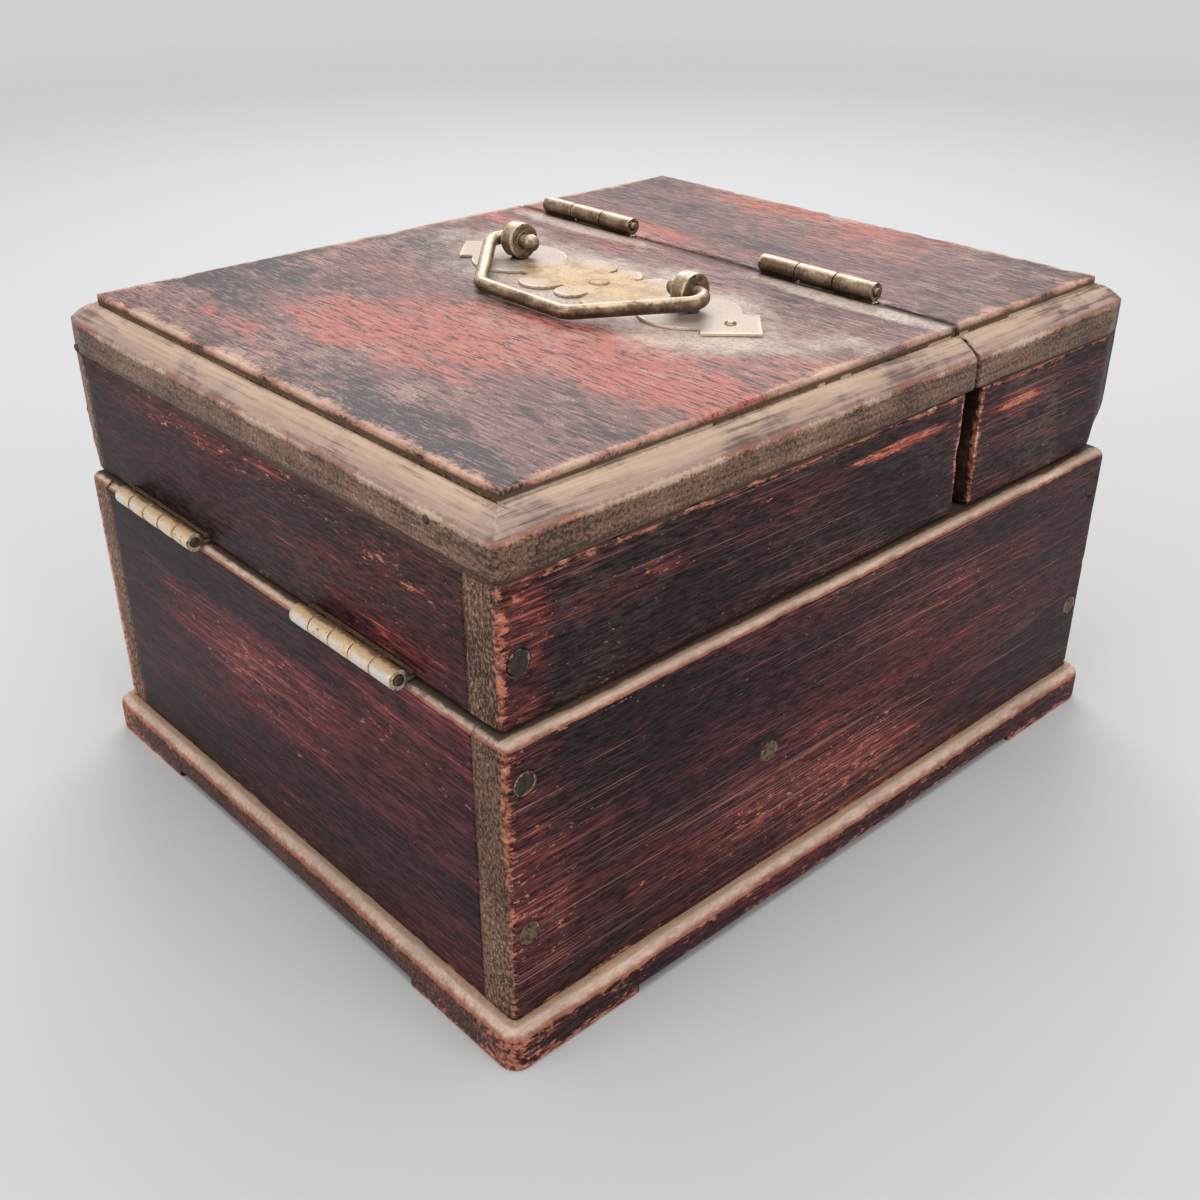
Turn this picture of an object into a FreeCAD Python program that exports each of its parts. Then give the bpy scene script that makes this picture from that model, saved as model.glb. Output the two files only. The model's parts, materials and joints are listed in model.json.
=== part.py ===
"""Old lacquered hardwood box with a lid in two leaves.

The body is five boards on a moulded base, pegged at the corners. The main lid turns on two butt
hinges at the back, a shorter flap turns on two more at the split across the top, and a bail handle
lies in two clenched eyes on a cusped plate. Millimetres, +Z up, the flap end towards -Y.
"""
import FreeCAD, Part
import math
import os
import re
import Sketcher

doc = FreeCAD.newDocument("lidded_box")
sheet = doc.addObject("Spreadsheet::Sheet", "Sizes")

DRIVING = [
    ("body_width", 160, "outside of the body, left to right"),
    ("body_length", 196, "outside of the body, front to back"),
    ("board_thick", 9, "body boards"),
    ("wall_height", 64, "body boards above the base"),
    ("rim_round", 2, "worn upper outer edge of the body"),
    ("corner_round", 1.6, "worn upright corners"),
    ("base_thick", 10, "base board with its feet"),
    ("base_outset", 3.3, "base beyond the body all round"),
    ("base_edge_round", 3.2, "rounded upper edge of the base"),
    ("base_corner", 4, "base corners in plan"),
    ("foot_height", 2, "hollow under the base between the corner feet"),
    ("foot_length", 34, "corner foot along each side"),
    ("partition_y", 27, "middle of the partition, behind the body's middle"),
    ("partition_thick", 7, "partition board"),
    ("partition_drop", 3, "partition below the rim"),
    ("peg_radius", 2.6, "wooden pegs"),
    ("peg_length", 19, "wooden pegs"),
    ("peg_slack", 0.03, "peg in its hole, on the radius"),
    ("peg_low", 20, "lower corner pegs above the base"),
    ("peg_high", 9.5, "upper corner pegs below the rim"),
    ("peg_middle", 30, "partition pegs above the base"),
    ("lid_wider", 2, "both leaves of the lid wider than the body"),
    ("lid_longer", 2, "both leaves of the lid longer than the body"),
    ("lid_over", 4, "how far the lid has drifted to the right of the body"),
    ("lid_forward", 3, "how far the lid has drifted to the front of the body"),
    ("lid_gap", 0.4, "lid above the rim"),
    ("lid_board", 9, "lid boards"),
    ("lid_wall", 29.2, "lid boards, bottom edge to seam"),
    ("lid_round", 0.8, "worn lower outer edge of the lid"),
    ("lid_peg", 13, "lid pegs above the lid's lower edge"),
    ("top_thick", 13, "top boards, seam to field"),
    ("band", 7, "upright band of the top boards"),
    ("mould_width", 6.6, "moulding, band to field"),
    ("mould_radius", 14, "swell of the moulding"),
    ("field_step", 2, "field above the moulding"),
    ("quirk", 0.7, "groove at the foot of the field"),
    ("flap_length", 63.5, "front of the lid to the middle of the split"),
    ("split_gap", 1.2, "between the two top boards"),
    ("side_setback", 2.6, "side boards short of the split edge"),
    ("leaf_thick", 1, "hinge leaves"),
    ("leaf_gap", 0.1, "between closed leaves"),
    ("leaf_slack", 0.25, "leaf clear of the other leaf's knuckles"),
    ("mortise_slack", 0.3, "mortise round a leaf"),
    ("pin_radius", 1.1, "hinge pins"),
    ("pin_slack", 0.05, "pin in its knuckles, on the radius"),
    ("pin_stand", 0.5, "pin beyond the last knuckle"),
    ("pin_dome", 0.45, "round on the ends of a pin"),
    ("knuckle_gap", 0.2, "between knuckles"),
    ("back_hinge_length", 34.5, "barrel of a back hinge"),
    ("back_hinge_inset", 43, "middle of a back hinge from the side of the lid"),
    ("back_leaf_reach", 10, "back hinge, axis to leaf edge"),
    ("back_axis_out", 1.2, "back hinge axis behind the body"),
    ("top_hinge_length", 34.5, "barrel of a top hinge"),
    ("top_hinge_inset", 41, "middle of a top hinge from the side of the lid, with the pair centred"),
    ("top_hinge_over", 5, "middle of the pair to the right of the lid's middle line"),
    ("top_leaf_reach", 12, "top hinge, axis to leaf edge"),
    ("barrel_lift", 0.2, "top hinge barrel above the field"),
    ("nail_radius", 0.8, "nail shank"),
    ("nail_head", 1.5, "nail head, radius"),
    ("nail_sink", 0.7, "depth of the tapered head"),
    ("nail_length", 7, "nails"),
    ("nail_slack", 0.03, "nail in its hole, on the radius"),
    ("nail_inset", 8, "hinge nails from the ends of the leaf"),
    ("handle_back", 2, "handle behind the lid's middle"),
    ("plate_thick", 0.8, "handle plate"),
    ("plate_band", 7.5, "half height of the plate's straight band"),
    ("eye_lobe", 12, "round lobe under each eye, radius"),
    ("side_lobe", 6, "lobes beside the middle, radius"),
    ("side_lobe_x", 11, "side lobes from the plate's middle"),
    ("side_lobe_y", 8, "side lobes from the plate's middle line"),
    ("middle_lobe", 4, "lobes at the middle, radius"),
    ("middle_lobe_y", 9, "middle lobes from the plate's middle line"),
    ("tip_x", 42, "pointed ends of the plate from its middle"),
    ("tip_half", 9.5, "half the diagonal of a pointed end"),
    ("eye_spread", 29.5, "eyes from the handle's middle"),
    ("eye_radius", 4.4, "outside of an eye"),
    ("eye_width", 4, "strip that an eye is rolled from"),
    ("leg_thick", 1.1, "one leg of an eye"),
    ("leg_reach", 8, "clenched leg under the top board"),
    ("leg_slack", 0.1, "legs in their slot"),
    ("rod_radius", 1.7, "bail"),
    ("rod_slack", 0.08, "bail in its eyes, on the radius"),
    ("knob_radius", 2.1, "rounded knob on each end of the bail"),
    ("knob_gap", 0.4, "knob clear of its eye"),
    ("rest_gap", 0.3, "lying bail above the field"),
    ("bail_depth", 24, "eye axis to the grip"),
    ("grip_straight", 13, "half the straight part of the grip"),
    ("grip_bend", 5, "bends at the grip"),
    ("eye_bend", 3.2, "bends beside the eyes"),
    ("bend_room", 0.6, "straight rod between an eye and its bend"),
]

DERIVED = [
    ("rim_z", "base_thick + wall_height"),
    ("inner_width", "body_width - 2 * board_thick"),
    ("lid_width", "body_width + lid_wider"),
    ("lid_length", "body_length + lid_longer"),
    ("lid_z", "rim_z + lid_gap"),
    ("seam_z", "lid_z + lid_wall"),
    ("field_z", "seam_z + top_thick"),
    ("lid_inner", "lid_width - 2 * lid_board"),
    ("lid_back_y", "lid_length / 2 - lid_forward"),
    ("lid_front_y", "-lid_length / 2 - lid_forward"),
    ("split_y", "lid_front_y + flap_length"),
    ("back_hinge_spread", "lid_width / 2 - back_hinge_inset"),
    ("top_hinge_spread", "lid_width / 2 - top_hinge_inset"),
    ("barrel_radius", "pin_radius + pin_slack + leaf_thick"),
    ("comb_edge", "barrel_radius + leaf_slack"),
    ("back_axis_y", "body_length / 2 + back_axis_out"),
    ("back_axis_z", "rim_z + leaf_thick + leaf_gap / 2"),
    ("top_axis_z", "field_z + barrel_radius + barrel_lift"),
    ("leaf_far", "leaf_gap / 2 + leaf_thick"),
    ("handle_y", "handle_back - lid_forward"),
    ("eye_z", "field_z + plate_thick + eye_radius"),
    ("eye_bore", "rod_radius + rod_slack"),
    ("bail_end", "eye_spread - eye_width / 2 - knob_gap - knob_radius"),
    ("bend_start", "eye_spread + eye_width / 2 + bend_room"),
]

for row, (alias, value, note) in enumerate(DRIVING, start=1):
    sheet.set(f"A{row}", note)
    sheet.set(f"B{row}", str(value))
    sheet.setAlias(f"B{row}", alias)
for row, (alias, formula) in enumerate(DERIVED, start=1):
    sheet.set(f"D{row}", alias.replace("_", " "))
    sheet.set(f"E{row}", "=" + formula)
    sheet.setAlias(f"E{row}", alias)
doc.recompute()

ALIAS = re.compile(r"\b(" + "|".join(entry[0] for entry in DRIVING + DERIVED) + r")\b")
BACK_KNUCKLES = 5
TOP_KNUCKLES = 3
X = FreeCAD.Vector(1, 0, 0)
Y = FreeCAD.Vector(0, 1, 0)
Z = FreeCAD.Vector(0, 0, 1)
pieces = []
origins = {}


def size(formula):
    """The value of a formula of sheet names."""
    return float(sheet.evalExpression(formula))


def tie(thing, path, formula):
    """Binds one property to a formula of sheet names."""
    thing.setExpression(path, ALIAS.sub(r"Sizes.\1", formula))


def place(thing, at):
    """Binds a position to three formulas."""
    for axis, formula in zip("xyz", at):
        tie(thing, f"Placement.Base.{axis}", formula)


def turned(towards):
    """A placement that turns +Z to the given direction."""
    return FreeCAD.Placement(FreeCAD.Vector(), FreeCAD.Rotation(Z, towards))


def body(label, at, rotation=None):
    """An empty piece, standing at a point of the box."""
    made = doc.addObject("PartDesign::Body", label)
    if rotation:
        made.Placement = FreeCAD.Placement(FreeCAD.Vector(), rotation)
    place(made, at)
    origins[label] = at
    pieces.append(made)
    return made


def local(owner, at):
    """A point of the box, in the frame of an unturned piece."""
    return [f"({point}) - ({origin})" for point, origin in zip(at, origins[owner.Name])]


def plane(owner, role):
    return next(feature for feature in owner.Origin.OriginFeatures if feature.Role == role)


def sketch(owner, name, role):
    made = owner.newObject("Sketcher::SketchObject", f"{owner.Name}_{name}")
    made.AttachmentSupport = [(plane(owner, role), "")]
    made.MapMode = "FlatFace"
    return made


def hold(drawing, *rule):
    """One sketch constraint."""
    return drawing.addConstraint(Sketcher.Constraint(*rule))


def constrain(drawing, formula, *rule):
    """One sketch constraint, bound to a formula."""
    spot = hold(drawing, *rule, size(formula))
    tie(drawing, f"Constraints[{spot}]", formula)


def outline(drawing, corners):
    """A closed outline through corners (x, y, radius): a radius swells the side that follows."""
    points = [FreeCAD.Vector(size(x), size(y), 0) for x, y, radius in corners]
    ends = []
    for index, (x, y, radius) in enumerate(corners):
        start = points[index]
        stop = points[(index + 1) % len(points)]
        side = Part.LineSegment(start, stop)
        if radius:
            chord = stop - start
            swell = size(radius) - math.sqrt(size(radius) ** 2 - chord.Length ** 2 / 4)
            outward = FreeCAD.Vector(chord.y, -chord.x, 0).normalize()
            side = Part.Arc(start, (start + stop) / 2 + outward * swell, stop)
        side_id = drawing.addGeometry(side, False)
        forward = drawing.getPoint(side_id, 1).distanceToPoint(start) < 1e-6
        ends.append((side_id, 1 if forward else 2, 2 if forward else 1))
    for index, (x, y, radius) in enumerate(corners):
        side_id, start_end, stop_end = ends[index]
        last_id, last_start, last_stop = ends[index - 1]
        hold(drawing, "Coincident", last_id, last_stop, side_id, start_end)
        constrain(drawing, x, "DistanceX", -1, 1, side_id, start_end)
        constrain(drawing, y, "DistanceY", -1, 1, side_id, start_end)
        if radius:
            constrain(drawing, radius, "Radius", side_id)


def rectangle(drawing, x_low, x_high, y_low, y_high):
    corners = ((x_low, y_low), (x_high, y_low), (x_high, y_high), (x_low, y_high))
    outline(drawing, [(x, y, None) for x, y in corners])


def circle(drawing, x, y, radius):
    """A circle at two formulas."""
    centre = FreeCAD.Vector(size(x), size(y), 0)
    ring = drawing.addGeometry(Part.Circle(centre, Z, size(radius)), False)
    constrain(drawing, x, "DistanceX", -1, 1, ring, 3)
    constrain(drawing, y, "DistanceY", -1, 1, ring, 3)
    constrain(drawing, radius, "Radius", ring)


def pad(owner, name, drawing, length, midplane=False):
    made = owner.newObject("PartDesign::Pad", f"{owner.Name}_{name}")
    made.Profile = drawing
    made.Midplane = midplane
    tie(made, "Length", length)
    return made


def drill(owner, name, radius, depth, at, towards):
    """A round hole from a point of the piece's own frame."""
    made = owner.newObject("PartDesign::SubtractiveCylinder", f"{owner.Name}_{name}")
    made.Placement = turned(towards)
    tie(made, "Radius", radius)
    tie(made, "Height", depth)
    place(made, at)


def mortise(owner, name, low, high):
    """A square-cut recess between two points of the piece's own frame."""
    made = owner.newObject("PartDesign::SubtractiveBox", f"{owner.Name}_{name}")
    for side, start, stop in zip(("Length", "Width", "Height"), low, high):
        tie(made, side, f"({stop}) - ({start})")
    place(made, low)


def round_edges(owner, name, radius, wanted):
    """Rounds the edges whose middle, in the box's frame, is wanted."""
    doc.recompute()
    base = owner.Tip
    chosen = []
    for index, edge in enumerate(base.Shape.Edges, start=1):
        middle = edge.valueAt((edge.FirstParameter + edge.LastParameter) / 2)
        if wanted(owner.Placement.multVec(middle)):
            chosen.append(f"Edge{index}")
    made = owner.newObject("PartDesign::Fillet", f"{owner.Name}_{name}")
    made.Base = (base, chosen)
    tie(made, "Radius", radius)


def meets(value, formula):
    return abs(value - size(formula)) < 1e-4


def board(label, width, depth, height, at):
    """A straight board, width along X and depth along Y, standing on the point at."""
    made = body(label, at)
    drawing = sketch(made, "outline", "XY_Plane")
    rectangle(drawing, f"-({width}) / 2", f"({width}) / 2", f"-({depth}) / 2", f"({depth}) / 2")
    pad(made, "blank", drawing, height)
    return made


def group(label, members):
    """Like fasteners that share one node."""
    made = doc.addObject("Part::Compound", label)
    made.Links = members
    pieces.append(made)


def peg(name, at, towards):
    made = doc.addObject("Part::Cylinder", name)
    made.Placement = turned(towards)
    tie(made, "Radius", "peg_radius")
    tie(made, "Height", "peg_length")
    place(made, at)
    return made


def peg_hole(owner, name, at, towards):
    drill(owner, name, "peg_radius + peg_slack", "peg_length", local(owner, at), towards)


def nail(name, at, towards, proud=False):
    """A nail driven from the point at: its tapered head is sunk below it, or stands proud of it."""
    head = doc.addObject("Part::Cone", f"{name}_head")
    tie(head, "Radius1", "nail_head")
    tie(head, "Radius2", "nail_radius")
    tie(head, "Height", "nail_sink")
    shank = doc.addObject("Part::Cylinder", f"{name}_shank")
    tie(shank, "Radius", "nail_radius")
    tie(shank, "Height", "nail_length")
    for part, way in ((head, -towards if proud else towards), (shank, towards)):
        part.Placement = turned(way)
        place(part, at)
    made = doc.addObject("Part::Fuse", name)
    made.Base = head
    made.Tool = shank
    return made


def nail_hole(owner, name, at, towards):
    drill(owner, name, "nail_radius + nail_slack", "nail_length", local(owner, at), towards)


# Base: a board with a rounded upper edge, hollowed below so that it stands on four corner feet.
base_half_x = "body_width / 2 + base_outset"
base_half_y = "body_length / 2 + base_outset"
base = board("base_board", f"2 * ({base_half_x})", f"2 * ({base_half_y})", "base_thick", ("0", "0", "0"))
round_edges(base, "corners", "base_corner", lambda p: meets(p.z, "base_thick / 2"))
round_edges(base, "upper_edge", "base_edge_round", lambda p: meets(p.z, "base_thick"))
clear_x = f"{base_half_x} - foot_length"
clear_y = f"{base_half_y} - foot_length"
for name, half_x, half_y in (("lengthways", clear_x, base_half_y), ("across", base_half_x, clear_y)):
    low = (f"-({half_x})", f"-({half_y})", "0")
    mortise(base, f"hollow_{name}", low, (half_x, half_y, "foot_height"))

# Body: two full-length side boards with the front, the back and the partition pegged between them.
corner_y = "body_length / 2 - board_thick / 2"
peg_rows = []
for end, y in (("front", f"-({corner_y})"), ("back", corner_y)):
    peg_rows.append((f"{end}_low", f"wall_{end}", y, "base_thick + peg_low"))
    peg_rows.append((f"{end}_high", f"wall_{end}", y, "rim_z - peg_high"))
peg_rows.append(("middle", "partition", "partition_y", "base_thick + peg_middle"))

cross_boards = {}
for name, thick, height, y in (
    ("wall_front", "board_thick", "wall_height", f"-({corner_y})"),
    ("wall_back", "board_thick", "wall_height", corner_y),
    ("partition", "partition_thick", "wall_height - partition_drop", "partition_y"),
):
    cross_boards[name] = board(name, "inner_width", thick, height, ("0", y, "base_thick"))
for name, y in (("wall_front", "-body_length / 2"), ("wall_back", "body_length / 2")):
    round_edges(cross_boards[name], "rim", "rim_round", lambda p: meets(p.y, y) and meets(p.z, "rim_z"))

pegs = []
for side, sign, inward in (("left", "-1", X), ("right", "1", -X)):
    face = f"{sign} * body_width / 2"
    middle = f"{sign} * (body_width - board_thick) / 2"
    flank = board(f"side_{side}", "board_thick", "body_length", "wall_height", (middle, "0", "base_thick"))
    half_up = "base_thick + wall_height / 2"
    round_edges(flank, "corners", "corner_round", lambda p: meets(p.x, face) and meets(p.z, half_up))
    round_edges(flank, "rim", "rim_round", lambda p: meets(p.x, face) and meets(p.z, "rim_z"))
    for name, held, y, z in peg_rows:
        pegs.append(peg(f"peg_{side}_{name}", (face, y, z), inward))
        peg_hole(flank, f"hole_{name}", (face, y, z), inward)
        peg_hole(cross_boards[held], f"hole_{side}_{name}", (face, y, z), inward)
group("body_pegs", pegs)


def top_board(label, y_low, y_high, moulded):
    """A top board with a raised field, moulded at both sides and at its +Y or -Y end."""
    made = body(label, ("lid_over", "-lid_forward", "seam_z"))
    shoulder = "top_thick - field_step"
    half = "lid_width / 2"
    right = [
        (half, "0", None),
        (half, "band", "mould_radius"),
        (f"{half} - mould_width + quirk", shoulder, None),
        (f"{half} - mould_width", f"{shoulder} - quirk", None),
        (f"{half} - mould_width", "top_thick", None),
    ]
    left = [
        (f"-({half} - mould_width)", "top_thick", None),
        (f"-({half} - mould_width)", f"{shoulder} - quirk", None),
        (f"-({half} - mould_width + quirk)", shoulder, "mould_radius"),
        (f"-({half})", "band", None),
        (f"-({half})", "0", None),
    ]
    section = sketch(made, "section", "XZ_Plane")
    outline(section, right + left)
    tie(section, "AttachmentOffset.Base.z", f"-({y_high})")
    pad(made, "blank", section, f"({y_high}) - ({y_low})")
    waste = sketch(made, "end_waste", "YZ_Plane")
    far = y_high if moulded > 0 else y_low
    inward, beyond = "-+" if moulded > 0 else "+-"
    cut = [
        (far, "band"),
        (f"({far}) {inward} (mould_width - quirk)", shoulder),
        (f"({far}) {inward} mould_width", f"{shoulder} - quirk"),
        (f"({far}) {inward} mould_width", "top_thick + field_step"),
        (f"({far}) {beyond} mould_width", "top_thick + field_step"),
        (f"({far}) {beyond} mould_width", "band"),
    ]
    swollen = 0
    if moulded < 0:
        cut.reverse()
        swollen = len(cut) - 2
    radii = ["mould_radius" if index == swollen else None for index in range(len(cut))]
    outline(waste, [(y, z, radius) for (y, z), radius in zip(cut, radii)])
    moulding = made.newObject("PartDesign::Pocket", f"{label}_end_moulding")
    moulding.Profile = waste
    moulding.Midplane = True
    tie(moulding, "Length", "2 * lid_width")
    half_band = "seam_z + band / 2"
    outer = "lid_back_y" if moulded > 0 else "lid_front_y"
    round_edges(made, "corners", "corner_round", lambda p: meets(p.y, outer) and meets(p.z, half_band))
    return made


# Main lid: side and back boards under a moulded top, pegged at the back corners.
split_local = "split_y + lid_forward"
lid_top = top_board("lid_top", f"{split_local} + split_gap / 2", "lid_length / 2", 1)
lid_peg_z = "lid_z + lid_peg"
lid_corner_y = "lid_back_y - lid_board / 2"
lid_back = board("lid_back", "lid_inner", "lid_board", "lid_wall", ("lid_over", lid_corner_y, "lid_z"))
round_edges(lid_back, "lower_edge", "lid_round", lambda p: meets(p.y, "lid_back_y") and meets(p.z, "lid_z"))
lid_open_y = "split_y + split_gap / 2 + side_setback"
flap_open_y = "split_y - split_gap / 2 - side_setback"
lid_pegs = []
for side, sign, inward in (("left", "-1", X), ("right", "1", -X)):
    face = f"lid_over + {sign} * lid_width / 2"
    middle = f"lid_over + {sign} * (lid_width - lid_board) / 2"
    for leaf, y_low, y_high in (("lid", lid_open_y, "lid_back_y"), ("flap", "lid_front_y", flap_open_y)):
        at = (middle, f"(({y_low}) + ({y_high})) / 2", "lid_z")
        flank = board(f"{leaf}_side_{side}", "lid_board", f"({y_high}) - ({y_low})", "lid_wall", at)
        outer = "lid_back_y" if leaf == "lid" else "lid_front_y"
        round_edges(flank, "corner", "corner_round", lambda p: meets(p.x, face) and meets(p.y, outer))
        round_edges(flank, "lower_edge", "lid_round", lambda p: meets(p.x, face) and meets(p.z, "lid_z"))
        if leaf == "lid":
            spot = (face, lid_corner_y, lid_peg_z)
            lid_pegs.append(peg(f"lid_peg_{side}", spot, inward))
            peg_hole(flank, "peg_hole", spot, inward)
            peg_hole(lid_back, f"peg_hole_{side}", spot, inward)
group("lid_pegs", lid_pegs)

# Flap: the same section of lid in front of the split, with its own front board.
flap_top = top_board("flap_top", "-lid_length / 2", f"{split_local} - split_gap / 2", -1)
flap_at = ("lid_over", "lid_front_y + lid_board / 2", "lid_z")
front = board("flap_front", "lid_inner", "lid_board", "lid_wall", flap_at)
round_edges(front, "lower_edge", "lid_round", lambda p: meets(p.y, "lid_front_y") and meets(p.z, "lid_z"))


def hinge(label, length, reach, knuckles, at, rotation, leaf_names):
    """A butt hinge on its own X axis: leaves reach towards -Y, one below and one above the joint."""
    pitch = f"({length}) / {knuckles}"
    for order, name in enumerate(leaf_names):
        leaf = body(f"{label}_{name}", at, rotation)
        low, high = ("-leaf_far", "-leaf_gap / 2") if order == 0 else ("leaf_gap / 2", "leaf_far")
        sheet_side = sketch(leaf, "sheet", "YZ_Plane")
        rectangle(sheet_side, f"-({reach})", "-comb_edge", low, high)
        pad(leaf, "leaf", sheet_side, length, midplane=True)
        first = f"-({length}) / 2 + {order} * {pitch} + knuckle_gap / 2"
        tab_side = sketch(leaf, "tab_side", "YZ_Plane")
        rectangle(tab_side, "-comb_edge", "0", low, high)
        roll_side = sketch(leaf, "roll_side", "YZ_Plane")
        circle(roll_side, "0", "0", "barrel_radius")
        originals = []
        for feature, drawing in (("tab", tab_side), ("roll", roll_side)):
            tie(drawing, "AttachmentOffset.Base.z", first)
            originals.append(pad(leaf, feature, drawing, f"{pitch} - knuckle_gap"))
        count = (knuckles + 1) // 2 - order
        if count > 1:
            row = leaf.newObject("PartDesign::LinearPattern", f"{leaf.Name}_knuckles")
            row.Originals = originals
            row.Direction = (roll_side, ["N_Axis"])
            tie(row, "Length", f"{2 * (count - 1)} * {pitch}")
            row.Occurrences = count
            leaf.Tip = row
        drill(leaf, "bore", "pin_radius + pin_slack", f"2 * ({length})", (f"-({length})", "0", "0"), X)
        face, towards = ("-leaf_gap / 2", -Z) if order == 0 else ("leaf_gap / 2", Z)
        for end, sign in (("a", "-1"), ("b", "1")):
            spot = (f"{sign} * ({length} / 2 - nail_inset)", f"-({reach} + comb_edge) / 2", face)
            drill(leaf, f"nail_hole_{end}", "nail_radius + nail_slack", "2 * leaf_thick", spot, towards)
            sink = leaf.newObject("PartDesign::SubtractiveCone", f"{leaf.Name}_sink_{end}")
            sink.Placement = turned(towards)
            tie(sink, "Radius1", "nail_head + nail_slack")
            tie(sink, "Radius2", "nail_radius + nail_slack")
            tie(sink, "Height", "nail_sink")
            place(sink, spot)
    pin = body(f"{label}_pin", at, rotation)
    half_side = sketch(pin, "half_side", "XY_Plane")
    reach_out = f"({length}) / 2 + pin_stand"
    rectangle(half_side, f"-({reach_out})", reach_out, "0", "pin_radius")
    turned_pin = pin.newObject("PartDesign::Revolution", f"{pin.Name}_turned")
    turned_pin.Profile = half_side
    turned_pin.ReferenceAxis = (half_side, ["H_Axis"])
    turned_pin.Angle = 360
    round_edges(pin, "ends", "pin_dome", lambda p: not meets(p.x, at[0]))


# Back hinges: the lower leaf lies on the rim, and the lid is mortised for both leaves.
body_nails = []
lid_back_nails = []
for side, sign in (("left", "-1"), ("right", "1")):
    at_x = f"lid_over + {sign} * back_hinge_spread"
    at = (at_x, "back_axis_y", "back_axis_z")
    leaf_names = ("body_leaf", "lid_leaf")
    name = f"back_hinge_{side}"
    hinge(name, "back_hinge_length", "back_leaf_reach", BACK_KNUCKLES, at, None, leaf_names)
    half = "(back_hinge_length / 2 + mortise_slack)"
    low = (f"{at_x} - {half}", "back_axis_y - back_leaf_reach - mortise_slack", "lid_z")
    high = (f"{at_x} + {half}", "lid_back_y", "back_axis_z + leaf_far")
    mortise(lid_back, f"mortise_{side}", local(lid_back, low), local(lid_back, high))
    start = (f"{at_x} - {half}", "back_axis_y", "back_axis_z")
    wall_back = cross_boards["wall_back"]
    scoop = "barrel_radius + mortise_slack"
    drill(wall_back, f"scoop_{side}", scoop, f"2 * {half}", local(wall_back, start), X)
    for end, step in (("a", "-1"), ("b", "1")):
        x = f"{at_x} + {step} * (back_hinge_length / 2 - nail_inset)"
        y = "back_axis_y - (back_leaf_reach + comb_edge) / 2"
        down = (x, y, "back_axis_z - leaf_gap / 2")
        body_nails.append(nail(f"body_nail_{side}_{end}", down, -Z))
        nail_hole(wall_back, f"nail_{side}_{end}", down, -Z)
        up = (x, y, "back_axis_z + leaf_gap / 2")
        lid_back_nails.append(nail(f"lid_back_nail_{side}_{end}", up, Z))
        nail_hole(lid_back, f"nail_{side}_{end}", up, Z)
group("body_hinge_nails", body_nails)
group("lid_back_hinge_nails", lid_back_nails)

# Top hinges: the leaves stand in the split, and the barrels lie on the field above it.
upright = FreeCAD.Rotation(X, 90)
lid_top_nails = []
flap_nails = []
for side, sign in (("left", "-1"), ("right", "1")):
    at_x = f"lid_over + top_hinge_over + {sign} * top_hinge_spread"
    at = (at_x, "split_y", "top_axis_z")
    leaf_names = ("lid_leaf", "flap_leaf")
    name = f"top_hinge_{side}"
    hinge(name, "top_hinge_length", "top_leaf_reach", TOP_KNUCKLES, at, upright, leaf_names)
    half = "(top_hinge_length / 2 + mortise_slack)"
    bottom = "top_axis_z - top_leaf_reach - mortise_slack"
    for leaf, y_low, y_high in (
        (lid_top, "split_y", "split_y + leaf_far"),
        (flap_top, "split_y - leaf_far", "split_y"),
    ):
        low = (f"{at_x} - {half}", y_low, bottom)
        high = (f"{at_x} + {half}", y_high, "field_z")
        mortise(leaf, f"mortise_{side}", local(leaf, low), local(leaf, high))
    for end, step in (("a", "-1"), ("b", "1")):
        x = f"{at_x} + {step} * (top_hinge_length / 2 - nail_inset)"
        z = "top_axis_z - (top_leaf_reach + comb_edge) / 2"
        lid_spot = (x, "split_y + leaf_gap / 2", z)
        lid_top_nails.append(nail(f"lid_top_nail_{side}_{end}", lid_spot, Y))
        nail_hole(lid_top, f"nail_{side}_{end}", lid_spot, Y)
        flap_spot = (x, "split_y - leaf_gap / 2", z)
        flap_nails.append(nail(f"flap_nail_{side}_{end}", flap_spot, -Y))
        nail_hole(flap_top, f"nail_{side}_{end}", flap_spot, -Y)
group("lid_top_hinge_nails", lid_top_nails)
group("flap_hinge_nails", flap_nails)


def disc(name, x, y, radius):
    """One round lobe of the handle plate."""
    made = doc.addObject("Part::Cylinder", name)
    tie(made, "Radius", radius)
    tie(made, "Height", "plate_thick")
    place(made, (f"lid_over + {x}", f"handle_y + {y}", "field_z"))
    return made


def slab(name, half_x, half_y, height, at):
    """A box centred on a point in plan."""
    made = doc.addObject("Part::Box", name)
    tie(made, "Length", f"2 * ({half_x})")
    tie(made, "Width", f"2 * ({half_y})")
    tie(made, "Height", height)
    place(made, (f"{at[0]} - ({half_x})", f"{at[1]} - ({half_y})", at[2]))
    return made


# Handle plate: thin sheet with a cusped outline of round lobes and two pointed ends.
handle_at = ("lid_over", "handle_y", "field_z")
lobes = [slab("plate_middle", "tip_x", "plate_band", "plate_thick", handle_at)]
for y_side in ("-1", "1"):
    y = f"{y_side} * middle_lobe_y"
    lobes.append(disc(f"plate_lobe_middle_{len(lobes)}", "0", y, "middle_lobe"))
    for x_side in ("-1", "1"):
        x = f"{x_side} * side_lobe_x"
        lobes.append(disc(f"plate_lobe_side_{len(lobes)}", x, f"{y_side} * side_lobe_y", "side_lobe"))
for x_side in ("-1", "1"):
    lobes.append(disc(f"plate_lobe_eye_{len(lobes)}", f"{x_side} * eye_spread", "0", "eye_lobe"))
    point = doc.addObject("Part::Box", f"plate_point_{len(lobes)}")
    for side in ("Length", "Width"):
        tie(point, side, "tip_half * sqrt(2)")
    tie(point, "Height", "plate_thick")
    point.Placement = FreeCAD.Placement(FreeCAD.Vector(), FreeCAD.Rotation(Z, 45))
    place(point, (f"lid_over + {x_side} * tip_x", "handle_y - tip_half", "field_z"))
    lobes.append(point)
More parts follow.
